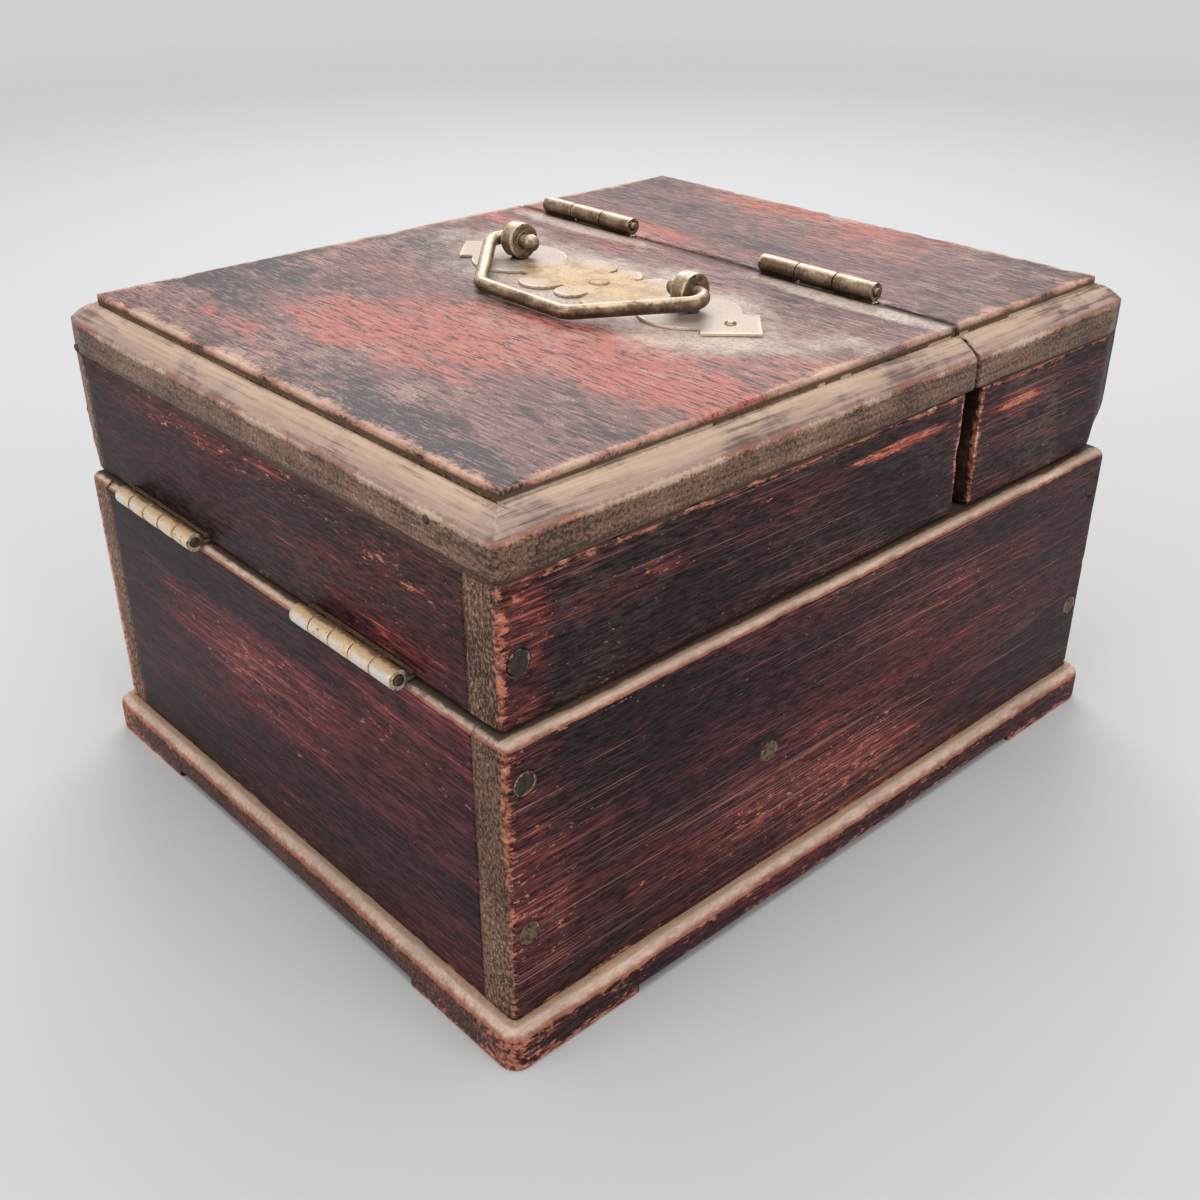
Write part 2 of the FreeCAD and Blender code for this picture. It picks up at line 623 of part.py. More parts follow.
plate_sheet = doc.addObject("Part::MultiFuse", "plate_sheet")
plate_sheet.Shapes = lobes
plate_sheet.Refine = True

plate_nails = []
plate_cuts = []
leg_half = "leg_thick + leg_slack"
for side, sign in (("left", "-1"), ("right", "1")):
    nail_spot = (f"lid_over + {sign} * tip_x", "handle_y", "field_z + plate_thick")
    plate_nails.append(nail(f"plate_nail_{side}", nail_spot, -Z, proud=True))
    nail_hole(lid_top, f"plate_nail_{side}", nail_spot, -Z)
    pierced = doc.addObject("Part::Cylinder", f"plate_nail_hole_{side}")
    tie(pierced, "Radius", "nail_radius + nail_slack")
    tie(pierced, "Height", "plate_thick")
    place(pierced, (nail_spot[0], "handle_y", "field_z"))
    eye_x = f"lid_over + {sign} * eye_spread"
    slot_half = "eye_width / 2 + leg_slack"
    eye_spot = (eye_x, "handle_y", "field_z")
    plate_cuts += [pierced, slab(f"plate_slot_{side}", slot_half, leg_half, "plate_thick", eye_spot)]
    low = (f"{eye_x} - ({slot_half})", f"handle_y - ({leg_half})", "seam_z")
    high = (f"{eye_x} + ({slot_half})", f"handle_y + ({leg_half})", "field_z")
    mortise(lid_top, f"slot_{side}", local(lid_top, low), local(lid_top, high))
holes = doc.addObject("Part::MultiFuse", "plate_holes")
holes.Shapes = plate_cuts
handle_plate = doc.addObject("Part::Cut", "handle_plate")
handle_plate.Base = plate_sheet
handle_plate.Tool = holes
pieces.append(handle_plate)
group("plate_nails", plate_nails)

# Handle eyes: iron strip rolled into an eye, its two legs driven through the top and clenched below.
for side, sign in (("left", "-1"), ("right", "1")):
    eye = body(f"handle_eye_{side}", (f"lid_over + {sign} * eye_spread", "handle_y", "eye_z"))
    legs_side = sketch(eye, "legs_side", "YZ_Plane")
    under = "-(eye_z - seam_z)"
    outline(legs_side, [
        ("-leg_thick", "-eye_bore", None),
        ("-leg_thick", under, None),
        ("-leg_reach", under, None),
        ("-leg_reach", f"{under} - leg_thick", None),
        ("leg_reach", f"{under} - leg_thick", None),
        ("leg_reach", under, None),
        ("leg_thick", under, None),
        ("leg_thick", "-eye_bore", None),
    ])
    pad(eye, "legs", legs_side, "eye_width", midplane=True)
    roll_side = sketch(eye, "roll_side", "YZ_Plane")
    circle(roll_side, "0", "0", "eye_radius")
    pad(eye, "roll", roll_side, "eye_width", midplane=True)
    drill(eye, "bore", "eye_bore", "2 * eye_width", ("-eye_width", "0", "0"), X)

# Bail: one iron rod, bent at the grip and beside the eyes, its ends turned in through them and knobbed.
bail = body("bail", ("lid_over", "handle_y", "eye_z"), FreeCAD.Rotation(X, 0))
tie(bail, "Placement.Rotation.Angle", "-asin((eye_z - field_z - rod_radius - rest_gap) / bail_depth)")
grip_centre = FreeCAD.Vector(size("grip_straight"), size("bail_depth - grip_bend"), 0)
eye_centre = FreeCAD.Vector(size("bend_start"), size("eye_bend"), 0)
reach = grip_centre - eye_centre
slope = math.atan2(reach.y, reach.x) - math.asin(size("grip_bend - eye_bend") / reach.Length)
outward = slope - math.pi / 2
ray = FreeCAD.Vector(math.cos(outward), math.sin(outward), 0)
grip_top = FreeCAD.Vector(size("grip_straight"), size("bail_depth"), 0)
eye_low = FreeCAD.Vector(size("bend_start"), 0, 0)
arm_top = grip_centre + ray * size("grip_bend")
arm_low = eye_centre + ray * size("eye_bend")
line_of_rod = sketch(bail, "line_of_rod", "XY_Plane")
grip, upper_bend, arm, lower_bend, journal = (
    line_of_rod.addGeometry(part, False)
    for part in (
        Part.LineSegment(FreeCAD.Vector(0, size("bail_depth"), 0), grip_top),
        Part.ArcOfCircle(Part.Circle(grip_centre, Z, size("grip_bend")), outward, math.pi / 2),
        Part.LineSegment(arm_top, arm_low),
        Part.ArcOfCircle(Part.Circle(eye_centre, Z, size("eye_bend")), -math.pi / 2, outward),
        Part.LineSegment(eye_low, FreeCAD.Vector(size("bail_end"), 0, 0)),
    )
)
hold(line_of_rod, "PointOnObject", grip, 1, -2)
hold(line_of_rod, "Horizontal", grip)
hold(line_of_rod, "Tangent", grip, 2, upper_bend, 2)
hold(line_of_rod, "Tangent", upper_bend, 1, arm, 1)
hold(line_of_rod, "Tangent", arm, 2, lower_bend, 2)
hold(line_of_rod, "Tangent", lower_bend, 1, journal, 1)
hold(line_of_rod, "PointOnObject", journal, 1, -1)
hold(line_of_rod, "PointOnObject", journal, 2, -1)
constrain(line_of_rod, "bail_depth", "DistanceY", -1, 1, grip, 1)
constrain(line_of_rod, "grip_bend", "Radius", upper_bend)
constrain(line_of_rod, "grip_straight", "DistanceX", -1, 1, upper_bend, 3)
constrain(line_of_rod, "eye_bend", "Radius", lower_bend)
constrain(line_of_rod, "bend_start", "DistanceX", -1, 1, lower_bend, 3)
constrain(line_of_rod, "bail_end", "DistanceX", -1, 1, journal, 2)
rod_section = sketch(bail, "rod_section", "YZ_Plane")
circle(rod_section, "bail_depth", "0", "rod_radius")
half_rod = bail.newObject("PartDesign::AdditivePipe", "bail_half_rod")
half_rod.Profile = rod_section
half_rod.Spine = (line_of_rod, [])
other_half = bail.newObject("PartDesign::Mirrored", "bail_other_half")
other_half.Originals = [half_rod]
other_half.MirrorPlane = (plane(bail, "YZ_Plane"), [""])
bail.Tip = other_half
for side, x in (("left", "-bail_end"), ("right", "bail_end")):
    knob = bail.newObject("PartDesign::AdditiveSphere", f"bail_knob_{side}")
    tie(knob, "Radius", "knob_radius")
    place(knob, (x, "0", "0"))

doc.recompute()
faults = [thing.Name for thing in doc.Objects if {"Invalid", "Error"} & set(thing.State)]
faults += [piece.Label for piece in pieces if piece.Shape.isNull() or not piece.Shape.isValid()]
if faults:
    raise RuntimeError("not built: " + ", ".join(faults))

os.makedirs("parts", exist_ok=True)
for piece in pieces:
    piece.Shape.exportStep(f"parts/{piece.Label}.step")
    print(f"{piece.Label}: {len(piece.Shape.Solids)} solid(s), {piece.Shape.Volume:.1f} mm3")
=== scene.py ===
import json
from math import radians

import bmesh
import bpy
import numpy as np
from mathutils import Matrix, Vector, noise


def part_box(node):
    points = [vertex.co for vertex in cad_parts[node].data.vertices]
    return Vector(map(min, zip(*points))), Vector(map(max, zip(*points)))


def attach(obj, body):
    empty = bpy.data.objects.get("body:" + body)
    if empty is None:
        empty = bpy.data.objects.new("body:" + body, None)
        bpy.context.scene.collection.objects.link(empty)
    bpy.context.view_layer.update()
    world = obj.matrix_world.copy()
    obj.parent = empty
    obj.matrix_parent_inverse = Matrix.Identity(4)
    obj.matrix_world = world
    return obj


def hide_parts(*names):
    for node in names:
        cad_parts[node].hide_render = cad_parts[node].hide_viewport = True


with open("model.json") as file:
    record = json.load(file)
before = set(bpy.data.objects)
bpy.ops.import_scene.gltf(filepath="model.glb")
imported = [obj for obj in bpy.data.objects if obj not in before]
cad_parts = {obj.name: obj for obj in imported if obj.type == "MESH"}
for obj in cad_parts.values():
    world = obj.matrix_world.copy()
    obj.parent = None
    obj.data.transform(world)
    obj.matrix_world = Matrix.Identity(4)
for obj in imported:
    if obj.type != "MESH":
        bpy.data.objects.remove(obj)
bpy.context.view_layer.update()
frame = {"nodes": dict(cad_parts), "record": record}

# Base board: one plank of dark hardwood under the box, its upper edge rounded over by hand, rubbed
# and dusty, and paler along the rounding as a painted highlight; it stands on four low corner feet.
# Like every solid here it is dressed as a worn copy: edges broken, faces cut fine, and the rubbing,
# chips and dents carried by the surface.
MM = 0.001
X, Y, Z = range(3)
LOW, HIGH = 0, 1
FLAT_TURN = radians(0.4)
SHARP_TURN = radians(38.0)
CREASE_TURN = radians(50.0)
HOLLOW_TURN = radians(-20.0)
OPENINGS = {space["name"]: np.array(space["box_m"]) for space in frame["record"]["physics"]["openings"]}
ROOMS = [OPENINGS[name] for name in ("front_compartment", "back_compartment", "lid_hollow", "flap_hollow")]


def box_lines(corners, outer):
    """The edges of a box, only those of its outer side where one is given as an axis and an end."""
    lines = []
    for axis in range(3):
        first, second = [other for other in range(3) if other != axis]
        for first_end in (LOW, HIGH):
            for second_end in (LOW, HIGH):
                ends = {first: first_end, second: second_end}
                if outer and ends.get(outer[0]) != outer[1]:
                    continue
                start, stop = np.array(corners[LOW]), np.array(corners[HIGH])
                for other, end in ends.items():
                    start[other] = stop[other] = corners[end][other]
                lines.append((start, stop))
    return lines


def nearness(points, lines, reach):
    """1 on a line of weight 1, falling off over the reach."""
    found = np.zeros(len(points))
    for start, stop, weight in lines:
        run = stop - start
        along = np.clip((points - start) @ run / max(run @ run, 1e-12), 0.0, 1.0)
        gap = np.linalg.norm(points - start - along[:, None] * run, axis=1)
        found = np.maximum(found, weight * np.exp(-gap / reach))
    return found


def ends_of(edge):
    return tuple(np.array(vert.co, float) for vert in edge.verts)


def worn_copy(
    node, body, slot, finish, outer=None, boxed=True, upright=0.5, crown=1.0, spared=None, knocks=(),
    pitch=3.0 * MM, broken=0.4 * MM, rub=0.35 * MM, dent=0.09 * MM, sliver=0.2 * MM, refine=True,
):
    """A node's solid with broken edges, cut at the pitch and finer by its edges, then rubbed and dented.

    A board is rubbed along the edges of its box, or of the outer side alone, and any other piece along
    its sharp edges. Upright and crown weigh the standing edges and the top ones, edges at the spared Y
    stay unrubbed, and each knock pushes a corner in over its reach.
    """
    solid = bmesh.new()
    solid.from_mesh(frame["nodes"][node].data)
    bmesh.ops.remove_doubles(solid, verts=solid.verts, dist=1e-6)
    bmesh.ops.dissolve_limit(solid, angle_limit=FLAT_TURN, verts=solid.verts, edges=solid.edges)
    turns = {edge: edge.calc_face_angle_signed() for edge in solid.edges if edge.is_manifold}
    sharp = [edge for edge, turn in turns.items() if turn > SHARP_TURN]
    corners = [np.array(corner, float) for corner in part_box(node)]
    bottom, height = corners[LOW][Z], corners[HIGH][Z] - corners[LOW][Z]
    lines = []
    for start, stop in box_lines(corners, outer) if boxed else map(ends_of, sharp):
        lean = abs(stop[Z] - start[Z]) / np.linalg.norm(stop - start)
        share = ((start[Z] + stop[Z]) / 2 - bottom) / height
        if spared is not None and max(abs(start[Y] - spared), abs(stop[Y] - spared)) < 1.5 * MM:
            continue
        if lean > 0.7:
            lines.append((start, stop, upright))
        elif lean < 0.1 or not refine:
            lines.append((start, stop, 0.5 + (crown - 0.5) * share))
    hollows = [(*ends_of(edge), 1.0) for edge, turn in turns.items() if turn < HOLLOW_TURN]
    bmesh.ops.bevel(
        solid, geom=sharp, offset=broken, offset_type="OFFSET", segments=2, profile=0.5,
        affect="EDGES", clamp_overlap=True, material=-1,
    )
    for axis in range(3):
        low, high = corners[LOW][axis], corners[HIGH][axis]
        count = int((high - low) / pitch)
        facing = Vector([float(other == axis) for other in range(3)])
        for step in range(1, count):
            geometry = solid.verts[:] + solid.edges[:] + solid.faces[:]
            spot = facing * (low + (high - low) * step / count)
            bmesh.ops.bisect_plane(solid, geom=geometry, dist=1e-7, plane_co=spot, plane_no=facing)
    if refine:
        points = np.array([vert.co for vert in solid.verts], float)
        close = nearness(points, [(start, stop, 1.0) for start, stop, weight in lines], 2.0 * pitch) > 0.2
        solid.verts.index_update()
        many = [
            face for face in solid.faces
            if len(face.verts) > 4 and any(close[vert.index] for vert in face.verts)
        ]
        bmesh.ops.triangulate(solid, faces=many)
        coarse = [
            edge for edge in solid.edges
            if edge.calc_length() > 0.5 * pitch and all(close[vert.index] for vert in edge.verts)
        ]
        bmesh.ops.subdivide_edges(solid, edges=coarse, cuts=2, use_grid_fill=True)
    # Slivers are merged in the order of their places, so that each run gives the same mesh
    placed = sorted(solid.verts, key=lambda vert: vert.co.to_tuple(6))
    rank = {vert: number for number, vert in enumerate(placed)}
    solid.verts.sort(key=rank.get)
    bmesh.ops.remove_doubles(solid, verts=solid.verts, dist=sliver)
    solid.normal_update()
    points = np.array([vert.co for vert in solid.verts], float)
    clear = 1.0 - nearness(points, hollows, 1.2 * MM)
    rubbed = clear * nearness(points, lines, 1.5 * MM)
    margin = nearness(points, lines, 6.0 * MM)
    inside = np.zeros(len(points))
    for low, high in ROOMS:
        inside = np.maximum(inside, ((points > low - 1.2 * MM) & (points < high + 0.8 * MM)).all(axis=1))
    marks = {name: solid.verts.layers.float.new(name) for name in ("worn", "margin", "inside")}
    for vert, by_edge, by_margin, is_inside in zip(solid.verts, rubbed, margin, inside):
        spot = vert.co.copy()
        patchy = 0.5 + 0.5 * noise.fractal(spot * 55.0, 0.9, 2.0, 3)
        chip = max(0.0, noise.noise(spot * 210.0) - 0.22) * 2.0
        vert[marks["worn"]] = min(1.0, by_edge * (0.45 + 0.75 * patchy) + 0.4 * by_edge * chip)
        vert[marks["margin"]] = by_margin
        vert[marks["inside"]] = is_inside
        depth = rub * by_edge * (0.2 + 0.7 * patchy + 1.5 * chip)
        depth += dent * (noise.noise(spot * 45.0) + 0.5 * noise.noise(spot * 130.0) + 0.6)
        vert.co -= vert.normal * depth
        for corner, reach, push in knocks:
            near = max(0.0, 1.0 - np.linalg.norm((np.array(spot) - corner) / reach))
            vert.co += Vector(push) * near * near * (3.0 - 2.0 * near)
    mesh = bpy.data.meshes.new(f"{node}_worn")
    solid.to_mesh(mesh)
    solid.free()
    mesh.shade_smooth()
    mesh.set_sharp_from_angle(angle=CREASE_TURN)
    mesh.materials.append(finish)
    piece = bpy.data.objects.new(f"{node}_worn", mesh)
    bpy.context.scene.collection.objects.link(piece)
    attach(piece, body)
    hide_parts(node)


def colour(red, green, blue):
    return (red, green, blue, 1.0)


class Finish:
    """A procedural material and the few steps that it is mixed from."""

    def __init__(self, name):
        self.material = bpy.data.materials.new(name)
        self.material.use_nodes = True
        self.tree = self.material.node_tree
        self.shader = self.tree.nodes["Principled BSDF"]
        places = self.add("ShaderNodeTexCoord")
        self.where = places.outputs["Object"]
        self.spot = self.add("ShaderNodeSeparateXYZ", {0: self.where}).outputs
        self.facing = self.add("ShaderNodeSeparateXYZ", {0: places.outputs["Normal"]}).outputs

    def add(self, kind, inputs=None, **settings):
        """One shader node: a socket among the inputs is linked, any other value is set."""
        made = self.tree.nodes.new(kind)
        for name, value in settings.items():
            setattr(made, name, value)
        for name, value in (inputs or {}).items():
            if isinstance(value, bpy.types.NodeSocket):
                self.tree.links.new(value, made.inputs[name])
            else:
                made.inputs[name].default_value = value
        return made

    def mark(self, name):
        """A value that the worn copy carries."""
        return self.add("ShaderNodeAttribute", attribute_name=name).outputs["Fac"]

    def figure(self, scale, turn=(0.0, 0.0, 0.0), detail=3.0, rough=0.6, warp=0.0):
        """Cloudy or streaky figure: one noise, stretched by the scale and turned."""
        laid = self.add("ShaderNodeMapping", {"Vector": self.where, "Scale": scale, "Rotation": turn})
        inputs = {"Vector": laid.outputs[0], "Scale": 1.0, "Detail": detail, "Roughness": rough}
        inputs["Distortion"] = warp
        return self.add("ShaderNodeTexNoise", inputs).outputs[0]

    def between(self, value, low, high, start=0.0, stop=1.0):
        """Smooth step of a value from low to high."""
        inputs = {"Value": value, "From Min": low, "From Max": high, "To Min": start, "To Max": stop}
        return self.add("ShaderNodeMapRange", inputs, interpolation_type="SMOOTHSTEP").outputs[0]

    def work(self, how, first, second=0.0):
        return self.add("ShaderNodeMath", {0: first, 1: second}, operation=how).outputs[0]

    def times(self, first, *others):
        for other in others:
            first = self.work("MULTIPLY", first, other)
        return first

    def plus(self, first, *others):
        for other in others:
            first = self.work("ADD", first, other)
        return first

    def without(self, mask):
        return self.work("SUBTRACT", 1.0, mask)

    def off_centre(self, value, amount):
        """A figure's swing about its middle, times an amount."""
        return self.times(self.work("SUBTRACT", value, 0.5), amount)

    def tint(self, amount, under, over):
        """One colour over another by an amount."""
        return self.add("ShaderNodeMix", {0: amount, 6: under, 7: over}, data_type="RGBA").outputs[2]

    def shade(self, under, amount):
        """A colour made darker or lighter by an amount."""
        return self.add("ShaderNodeVectorMath", {0: under, "Scale": amount}, operation="SCALE").outputs[0]

    def patch(self, centre, reach, ragged):
        """1 inside a blob round a place, fading to 0 at a ragged edge."""
        away = self.add("ShaderNodeVectorMath", {0: self.where, 1: centre}, operation="SUBTRACT").outputs[0]
        scaled = self.add("ShaderNodeVectorMath", {0: away, 1: reach}, operation="DIVIDE").outputs[0]
        length = self.add("ShaderNodeVectorMath", {0: scaled}, operation="LENGTH").outputs["Value"]
        return self.between(self.plus(length, self.off_centre(ragged, 2.4)), 1.2, 0.5)

    def done(self, base, gloss, height, depth):
        """Links the colour, the roughness and the fine relief, and hands back the material."""
        self.tree.links.new(base, self.shader.inputs["Base Color"])
        self.tree.links.new(gloss, self.shader.inputs["Roughness"])
        relief = self.add("ShaderNodeBump", {"Height": height, "Strength": 0.5, "Distance": depth})
        self.tree.links.new(relief.outputs[0], self.shader.inputs["Normal"])
        return self.material


BLACK_FILM = colour(0.022, 0.0125, 0.013)
AUBERGINE = colour(0.046, 0.0165, 0.0195)
MAROON = colour(0.095, 0.023, 0.026)
DEEP_RED = colour(0.185, 0.039, 0.034)
RED_WOOD = colour(0.42, 0.098, 0.066)
ORANGE_WOOD = colour(0.58, 0.215, 0.13)
RED_SCALE = (DEEP_RED, RED_WOOD, ORANGE_WOOD)
WINE_SCALE = (colour(0.15, 0.036, 0.045), colour(0.27, 0.07, 0.072), colour(0.46, 0.17, 0.125))
RUBBED = colour(0.62, 0.45, 0.34)
DUST_TAN = colour(0.47, 0.31, 0.205)
PALE_DUST_AND_HIGHLIGHT = colour(0.67, 0.49, 0.39)
DUST_ORANGE = colour(0.42, 0.17, 0.11)
HAIRLINE = colour(0.45, 0.2, 0.16)
SMOKE = colour(0.07, 0.05, 0.044)
SAWN_DARK = colour(0.05, 0.029, 0.022)
TAN = colour(0.23, 0.125, 0.08)
CREAM = colour(0.55, 0.38, 0.26)
BARE_WOOD = colour(0.2, 0.115, 0.065)
BARE_DARK = colour(0.11, 0.06, 0.036)
SCORES = ((0.02, 16.0, 0.67), (-0.06, 22.0, 0.68), (0.5, 150.0, 0.74))


def stretched(grain, along, across):
    return tuple(along if axis == grain else across for axis in range(3))


def lacquer(
    name, grain, red=0.0, reds=RED_SCALE, scored=0.0, rubbed=0.0, flecks=0.0, sawn_share=0.9,
    smoke=0.0, split=0.0, patches=(), rubs=(),
):
    """Old dark lacquer on red hardwood, its grain along one axis, worn through in streaks and flakes.

    Patches make places redder or darker, rubs wear them down to the wood, and split is the way that an
    end faces the gap between lid and flap, where that end is painted dark as the shade in the gap. A score
    is a tilt off the grain, a pitch and a rarity.
    """
    coat = Finish(name)
    worn, inside = coat.mark("worn"), coat.mark("inside")
    clouds = coat.figure(stretched(grain, 11.0, 34.0))
    bands = coat.figure(stretched(grain, 12.0, 170.0), detail=4.0, warp=0.5)
    streaks = coat.figure(stretched(grain, 60.0, 1250.0), detail=4.0, rough=0.72, warp=0.8)
    fibres = coat.figure(stretched(grain, 240.0, 1700.0), rough=0.7)
    grit = coat.figure(stretched(grain, 550.0, 1500.0), rough=0.75)
    chips = coat.figure(stretched(grain, 300.0, 900.0), detail=4.0, rough=0.75)
    drift = coat.figure((45.0, 45.0, 45.0), detail=5.0, rough=0.72)

    zone = coat.plus(coat.off_centre(clouds, 0.45), 0.05 * red)
    for centre, reach, strength in patches:
        zone = coat.plus(zone, coat.times(coat.patch(centre, reach, bands), strength))
    film = coat.plus(coat.times(bands, 0.55), coat.times(streaks, 0.45), zone)
    base = coat.tint(coat.between(film, 0.38, 0.52), BLACK_FILM, AUBERGINE)
    base = coat.tint(coat.between(film, 0.5, 0.64), base, MAROON)
    base = coat.tint(coat.times(coat.between(drift, 0.42, 0.6), smoke), base, SMOKE)
    base = coat.shade(base, coat.between(fibres, 0.36, 0.66, 0.4, 2.0))
    bare = coat.plus(streaks, coat.off_centre(bands, 0.4), zone)
    base = coat.tint(coat.times(coat.between(bare, 0.6, 0.66), 0.9), base, reds[0])
    base = coat.tint(coat.between(bare, 0.685, 0.725), base, reds[1])
    base = coat.tint(coat.between(bare, 0.79, 0.84), base, reds[2])
    base = coat.tint(coat.between(coat.plus(chips, coat.times(zone, 0.8)), 0.68, 0.72), base, reds[2])

    for tilt, along, limit in SCORES if scored else ():
        turn = tuple(tilt if axis != grain else 0.0 for axis in range(3))
        line = coat.figure(stretched(grain, along, 3600.0), turn, detail=1.5, rough=0.5)
        line = coat.plus(line, coat.off_centre(clouds, 0.35))
        line = coat.between(line, limit - 0.025 * scored, limit + 0.05)
        base = coat.tint(coat.times(line, 0.6), base, HAIRLINE)

    end = coat.between(coat.work("ABSOLUTE", coat.facing[grain]), 0.55, 0.75)
    fleck = coat.plus(coat.figure((1500.0, 1500.0, 900.0), rough=0.8), coat.off_centre(drift, 0.35))
    sawn = coat.tint(coat.between(fleck, 0.42, 0.54), SAWN_DARK, TAN)
    sawn = coat.tint(coat.times(coat.between(fleck, 0.57 - 0.02 * flecks, 0.64), 0.65), sawn, CREAM)
    base = coat.tint(coat.times(end, sawn_share), base, sawn)
    # Painted shade: an end that faces the gap between lid and flap is darkened, as the shade in the gap.
    if split:
        cut = coat.between(coat.times(coat.facing[grain], split), 0.3, 0.7)
        split_shade = coat.tint(coat.between(drift, 0.45, 0.65), BLACK_FILM, BARE_DARK)
        base = coat.tint(coat.times(cut, 0.9), base, split_shade)

    flaked = coat.plus(worn, coat.off_centre(drift, 1.0), coat.off_centre(chips, 1.3))
    flaked = coat.plus(flaked, coat.off_centre(fibres, 0.3), 0.1 * rubbed)
    for centre, reach, amount in rubs:
        flaked = coat.plus(flaked, coat.times(coat.patch(centre, reach, drift), amount))
    torn = coat.tint(coat.between(chips, 0.4, 0.6), DEEP_RED, ORANGE_WOOD)
    base = coat.tint(coat.times(coat.between(flaked, 0.42, 0.55), 0.9), base, torn)
    base = coat.tint(coat.between(flaked, 0.7, 0.88), base, RUBBED)

    level = coat.plus(coat.facing[Z], coat.off_centre(drift, 0.4), coat.off_centre(chips, 0.3))
    by_rim = coat.between(coat.spot[Z], LID_LOW[Z] - 8.0 * MM, LID_LOW[Z] - 5.0 * MM)
    by_base = coat.between(coat.spot[Z], 14.0 * MM, 11.0 * MM)
    ledge = coat.times(coat.between(level, 0.14, 0.36), coat.plus(by_rim, by_base))
    # Dust on the ledges: tan on the flat, paler on the rounding as dust with a painted highlight there, and
    # orange lower on the rounding.
    overlay = coat.tint(coat.between(level, 0.97, 0.87), DUST_TAN, PALE_DUST_AND_HIGHLIGHT)
    overlay = coat.tint(coat.between(level, 0.72, 0.42), overlay, DUST_ORANGE)
    overlay = coat.shade(overlay, coat.between(drift, 0.3, 0.7, 0.85, 1.12))
    overlay = coat.shade(overlay, coat.between(chips, 0.35, 0.65, 0.88, 1.08))
    base = coat.tint(coat.times(ledge, 0.95), base, overlay)
    # Painted shadow: the rim ledge is darkened just under the lid's lower edge, as the shadow in the gap
    # between lid and body.
    stray = coat.plus(coat.off_centre(drift, 3.0 * MM), coat.off_centre(chips, 1.5 * MM))
    lid_shadow = coat.times(
        coat.between(coat.plus(coat.spot[X], stray), LID_LOW[X] - 1.2 * MM, LID_LOW[X] - 0.3 * MM),
        coat.between(coat.plus(coat.spot[Y], stray), LID_HIGH[Y] + 1.4 * MM, LID_HIGH[Y] + 0.4 * MM),
        by_rim,
    )
    base = coat.tint(coat.times(lid_shadow, ledge, 0.85), base, BLACK_FILM)
    nicks = coat.plus(grit, coat.off_centre(drift, 0.2), 0.01 * flecks)
    base = coat.tint(coat.times(coat.between(nicks, 0.69, 0.73), 0.7), base, CREAM)

    plain = coat.between(coat.plus(bands, coat.off_centre(fibres, 0.4)), 0.4, 0.62)
    base = coat.tint(coat.between(inside, 0.4, 0.6), base, coat.tint(plain, BARE_DARK, BARE_WOOD))

    gloss = coat.plus(0.4, coat.times(coat.between(flaked, 0.3, 0.7), 0.22), coat.times(ledge, 0.04))
    gloss = coat.plus(gloss, coat.off_centre(fibres, 0.3), coat.off_centre(grit, 0.2))
    gloss = coat.plus(gloss, coat.times(inside, 0.25))
    coat.shader.inputs["Specular IOR Level"].default_value = 0.08
    height = coat.plus(coat.times(fibres, 0.6), coat.times(grit, 0.3))
    height = coat.plus(height, coat.times(coat.between(flaked, 0.4, 0.55), -0.8))
    height = coat.plus(height, coat.times(coat.between(bare, 0.58, 0.68), -0.6))
    return coat.done(base, gloss, height, 0.3 * MM)


LID_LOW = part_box("lid_side_left")[LOW]
LID_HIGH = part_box("lid_side_right")[HIGH]
base_low, base_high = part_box("base_board")
base_finish = lacquer(
    "base_lacquer", Y, red=0.2, rubbed=2.2, sawn_share=0.3,
    rubs=[
        ((base_low[X], base_high[Y], 5.0 * MM), (12.0 * MM, 12.0 * MM, 9.0 * MM), 0.22),
        ((base_high[X], base_high[Y], 5.0 * MM), (12.0 * MM, 12.0 * MM, 9.0 * MM), 0.22),
        ((base_low[X], 0.0, 1.0 * MM), (4.0 * MM, 90.0 * MM, 3.0 * MM), 0.15),
    ],
)
worn_copy("base_board", "box", "lacquered_wood", base_finish, upright=0.8, rub=0.5 * MM)

# Body boards: two full-length sides with the front and back boards butted between them, flat-sawn and
# lacquered nearly black. The ends of the sides show as speckled strips on the back and the front.
side_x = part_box("side_left")[LOW][X]
far_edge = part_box("side_right")[HIGH]
side_finish = lacquer(
    "side_lacquer", Y, red=-0.2, scored=1.0,
    rubs=[
        ((far_edge[X], far_edge[Y], 0.04), (5.0 * MM, 9.0 * MM, 60.0 * MM), 0.6),
        ((side_x, far_edge[Y] - 9.0 * MM, 0.045), (9.0 * MM, 9.0 * MM, 45.0 * MM), 0.2),
    ],
    patches=[
        ((side_x, -0.04, 0.05), (0.03, 0.06, 0.014), 0.06),
        ((side_x, -0.004, 0.038), (0.03, 0.05, 0.009), 0.03),
        ((side_x, 0.02, 0.024), (0.03, 0.06, 0.007), 0.07),
        ((side_x, 0.039, 0.061), (0.03, 0.018, 0.004), 0.08),
        ((side_x, 0.09, 0.045), (0.03, 0.01, 0.03), 0.1),
        ((side_x, 0.07, 0.062), (0.03, 0.03, 0.012), -0.07),
        ((side_x, -0.08, 0.03), (0.03, 0.02, 0.02), -0.05),
    ],
)
for node, end in (("side_left", LOW), ("side_right", HIGH)):
    worn_copy(node, "box", "lacquered_wood", side_finish, outer=(X, end), upright=0.95)
back_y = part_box("wall_back")[HIGH][Y]
wall_finish = lacquer(
    "wall_lacquer", X, red=0.0, reds=WINE_SCALE, flecks=-0.5,
    patches=[
        ((0.03, back_y, 0.052), (0.05, 0.03, 0.008), 0.06),
        ((-0.015, back_y, 0.055), (0.045, 0.03, 0.007), 0.05),
        ((-0.05, back_y, 0.04), (0.035, 0.03, 0.013), 0.03),
        ((0.062, back_y, 0.05), (0.02, 0.03, 0.03), -0.08),
        ((0.0, back_y, 0.068), (0.07, 0.03, 0.006), -0.1),
    ],
)
for node, end in (("wall_back", HIGH), ("wall_front", LOW)):
    worn_copy(node, "box", "lacquered_wood", wall_finish, outer=(Y, end), upright=0.0)

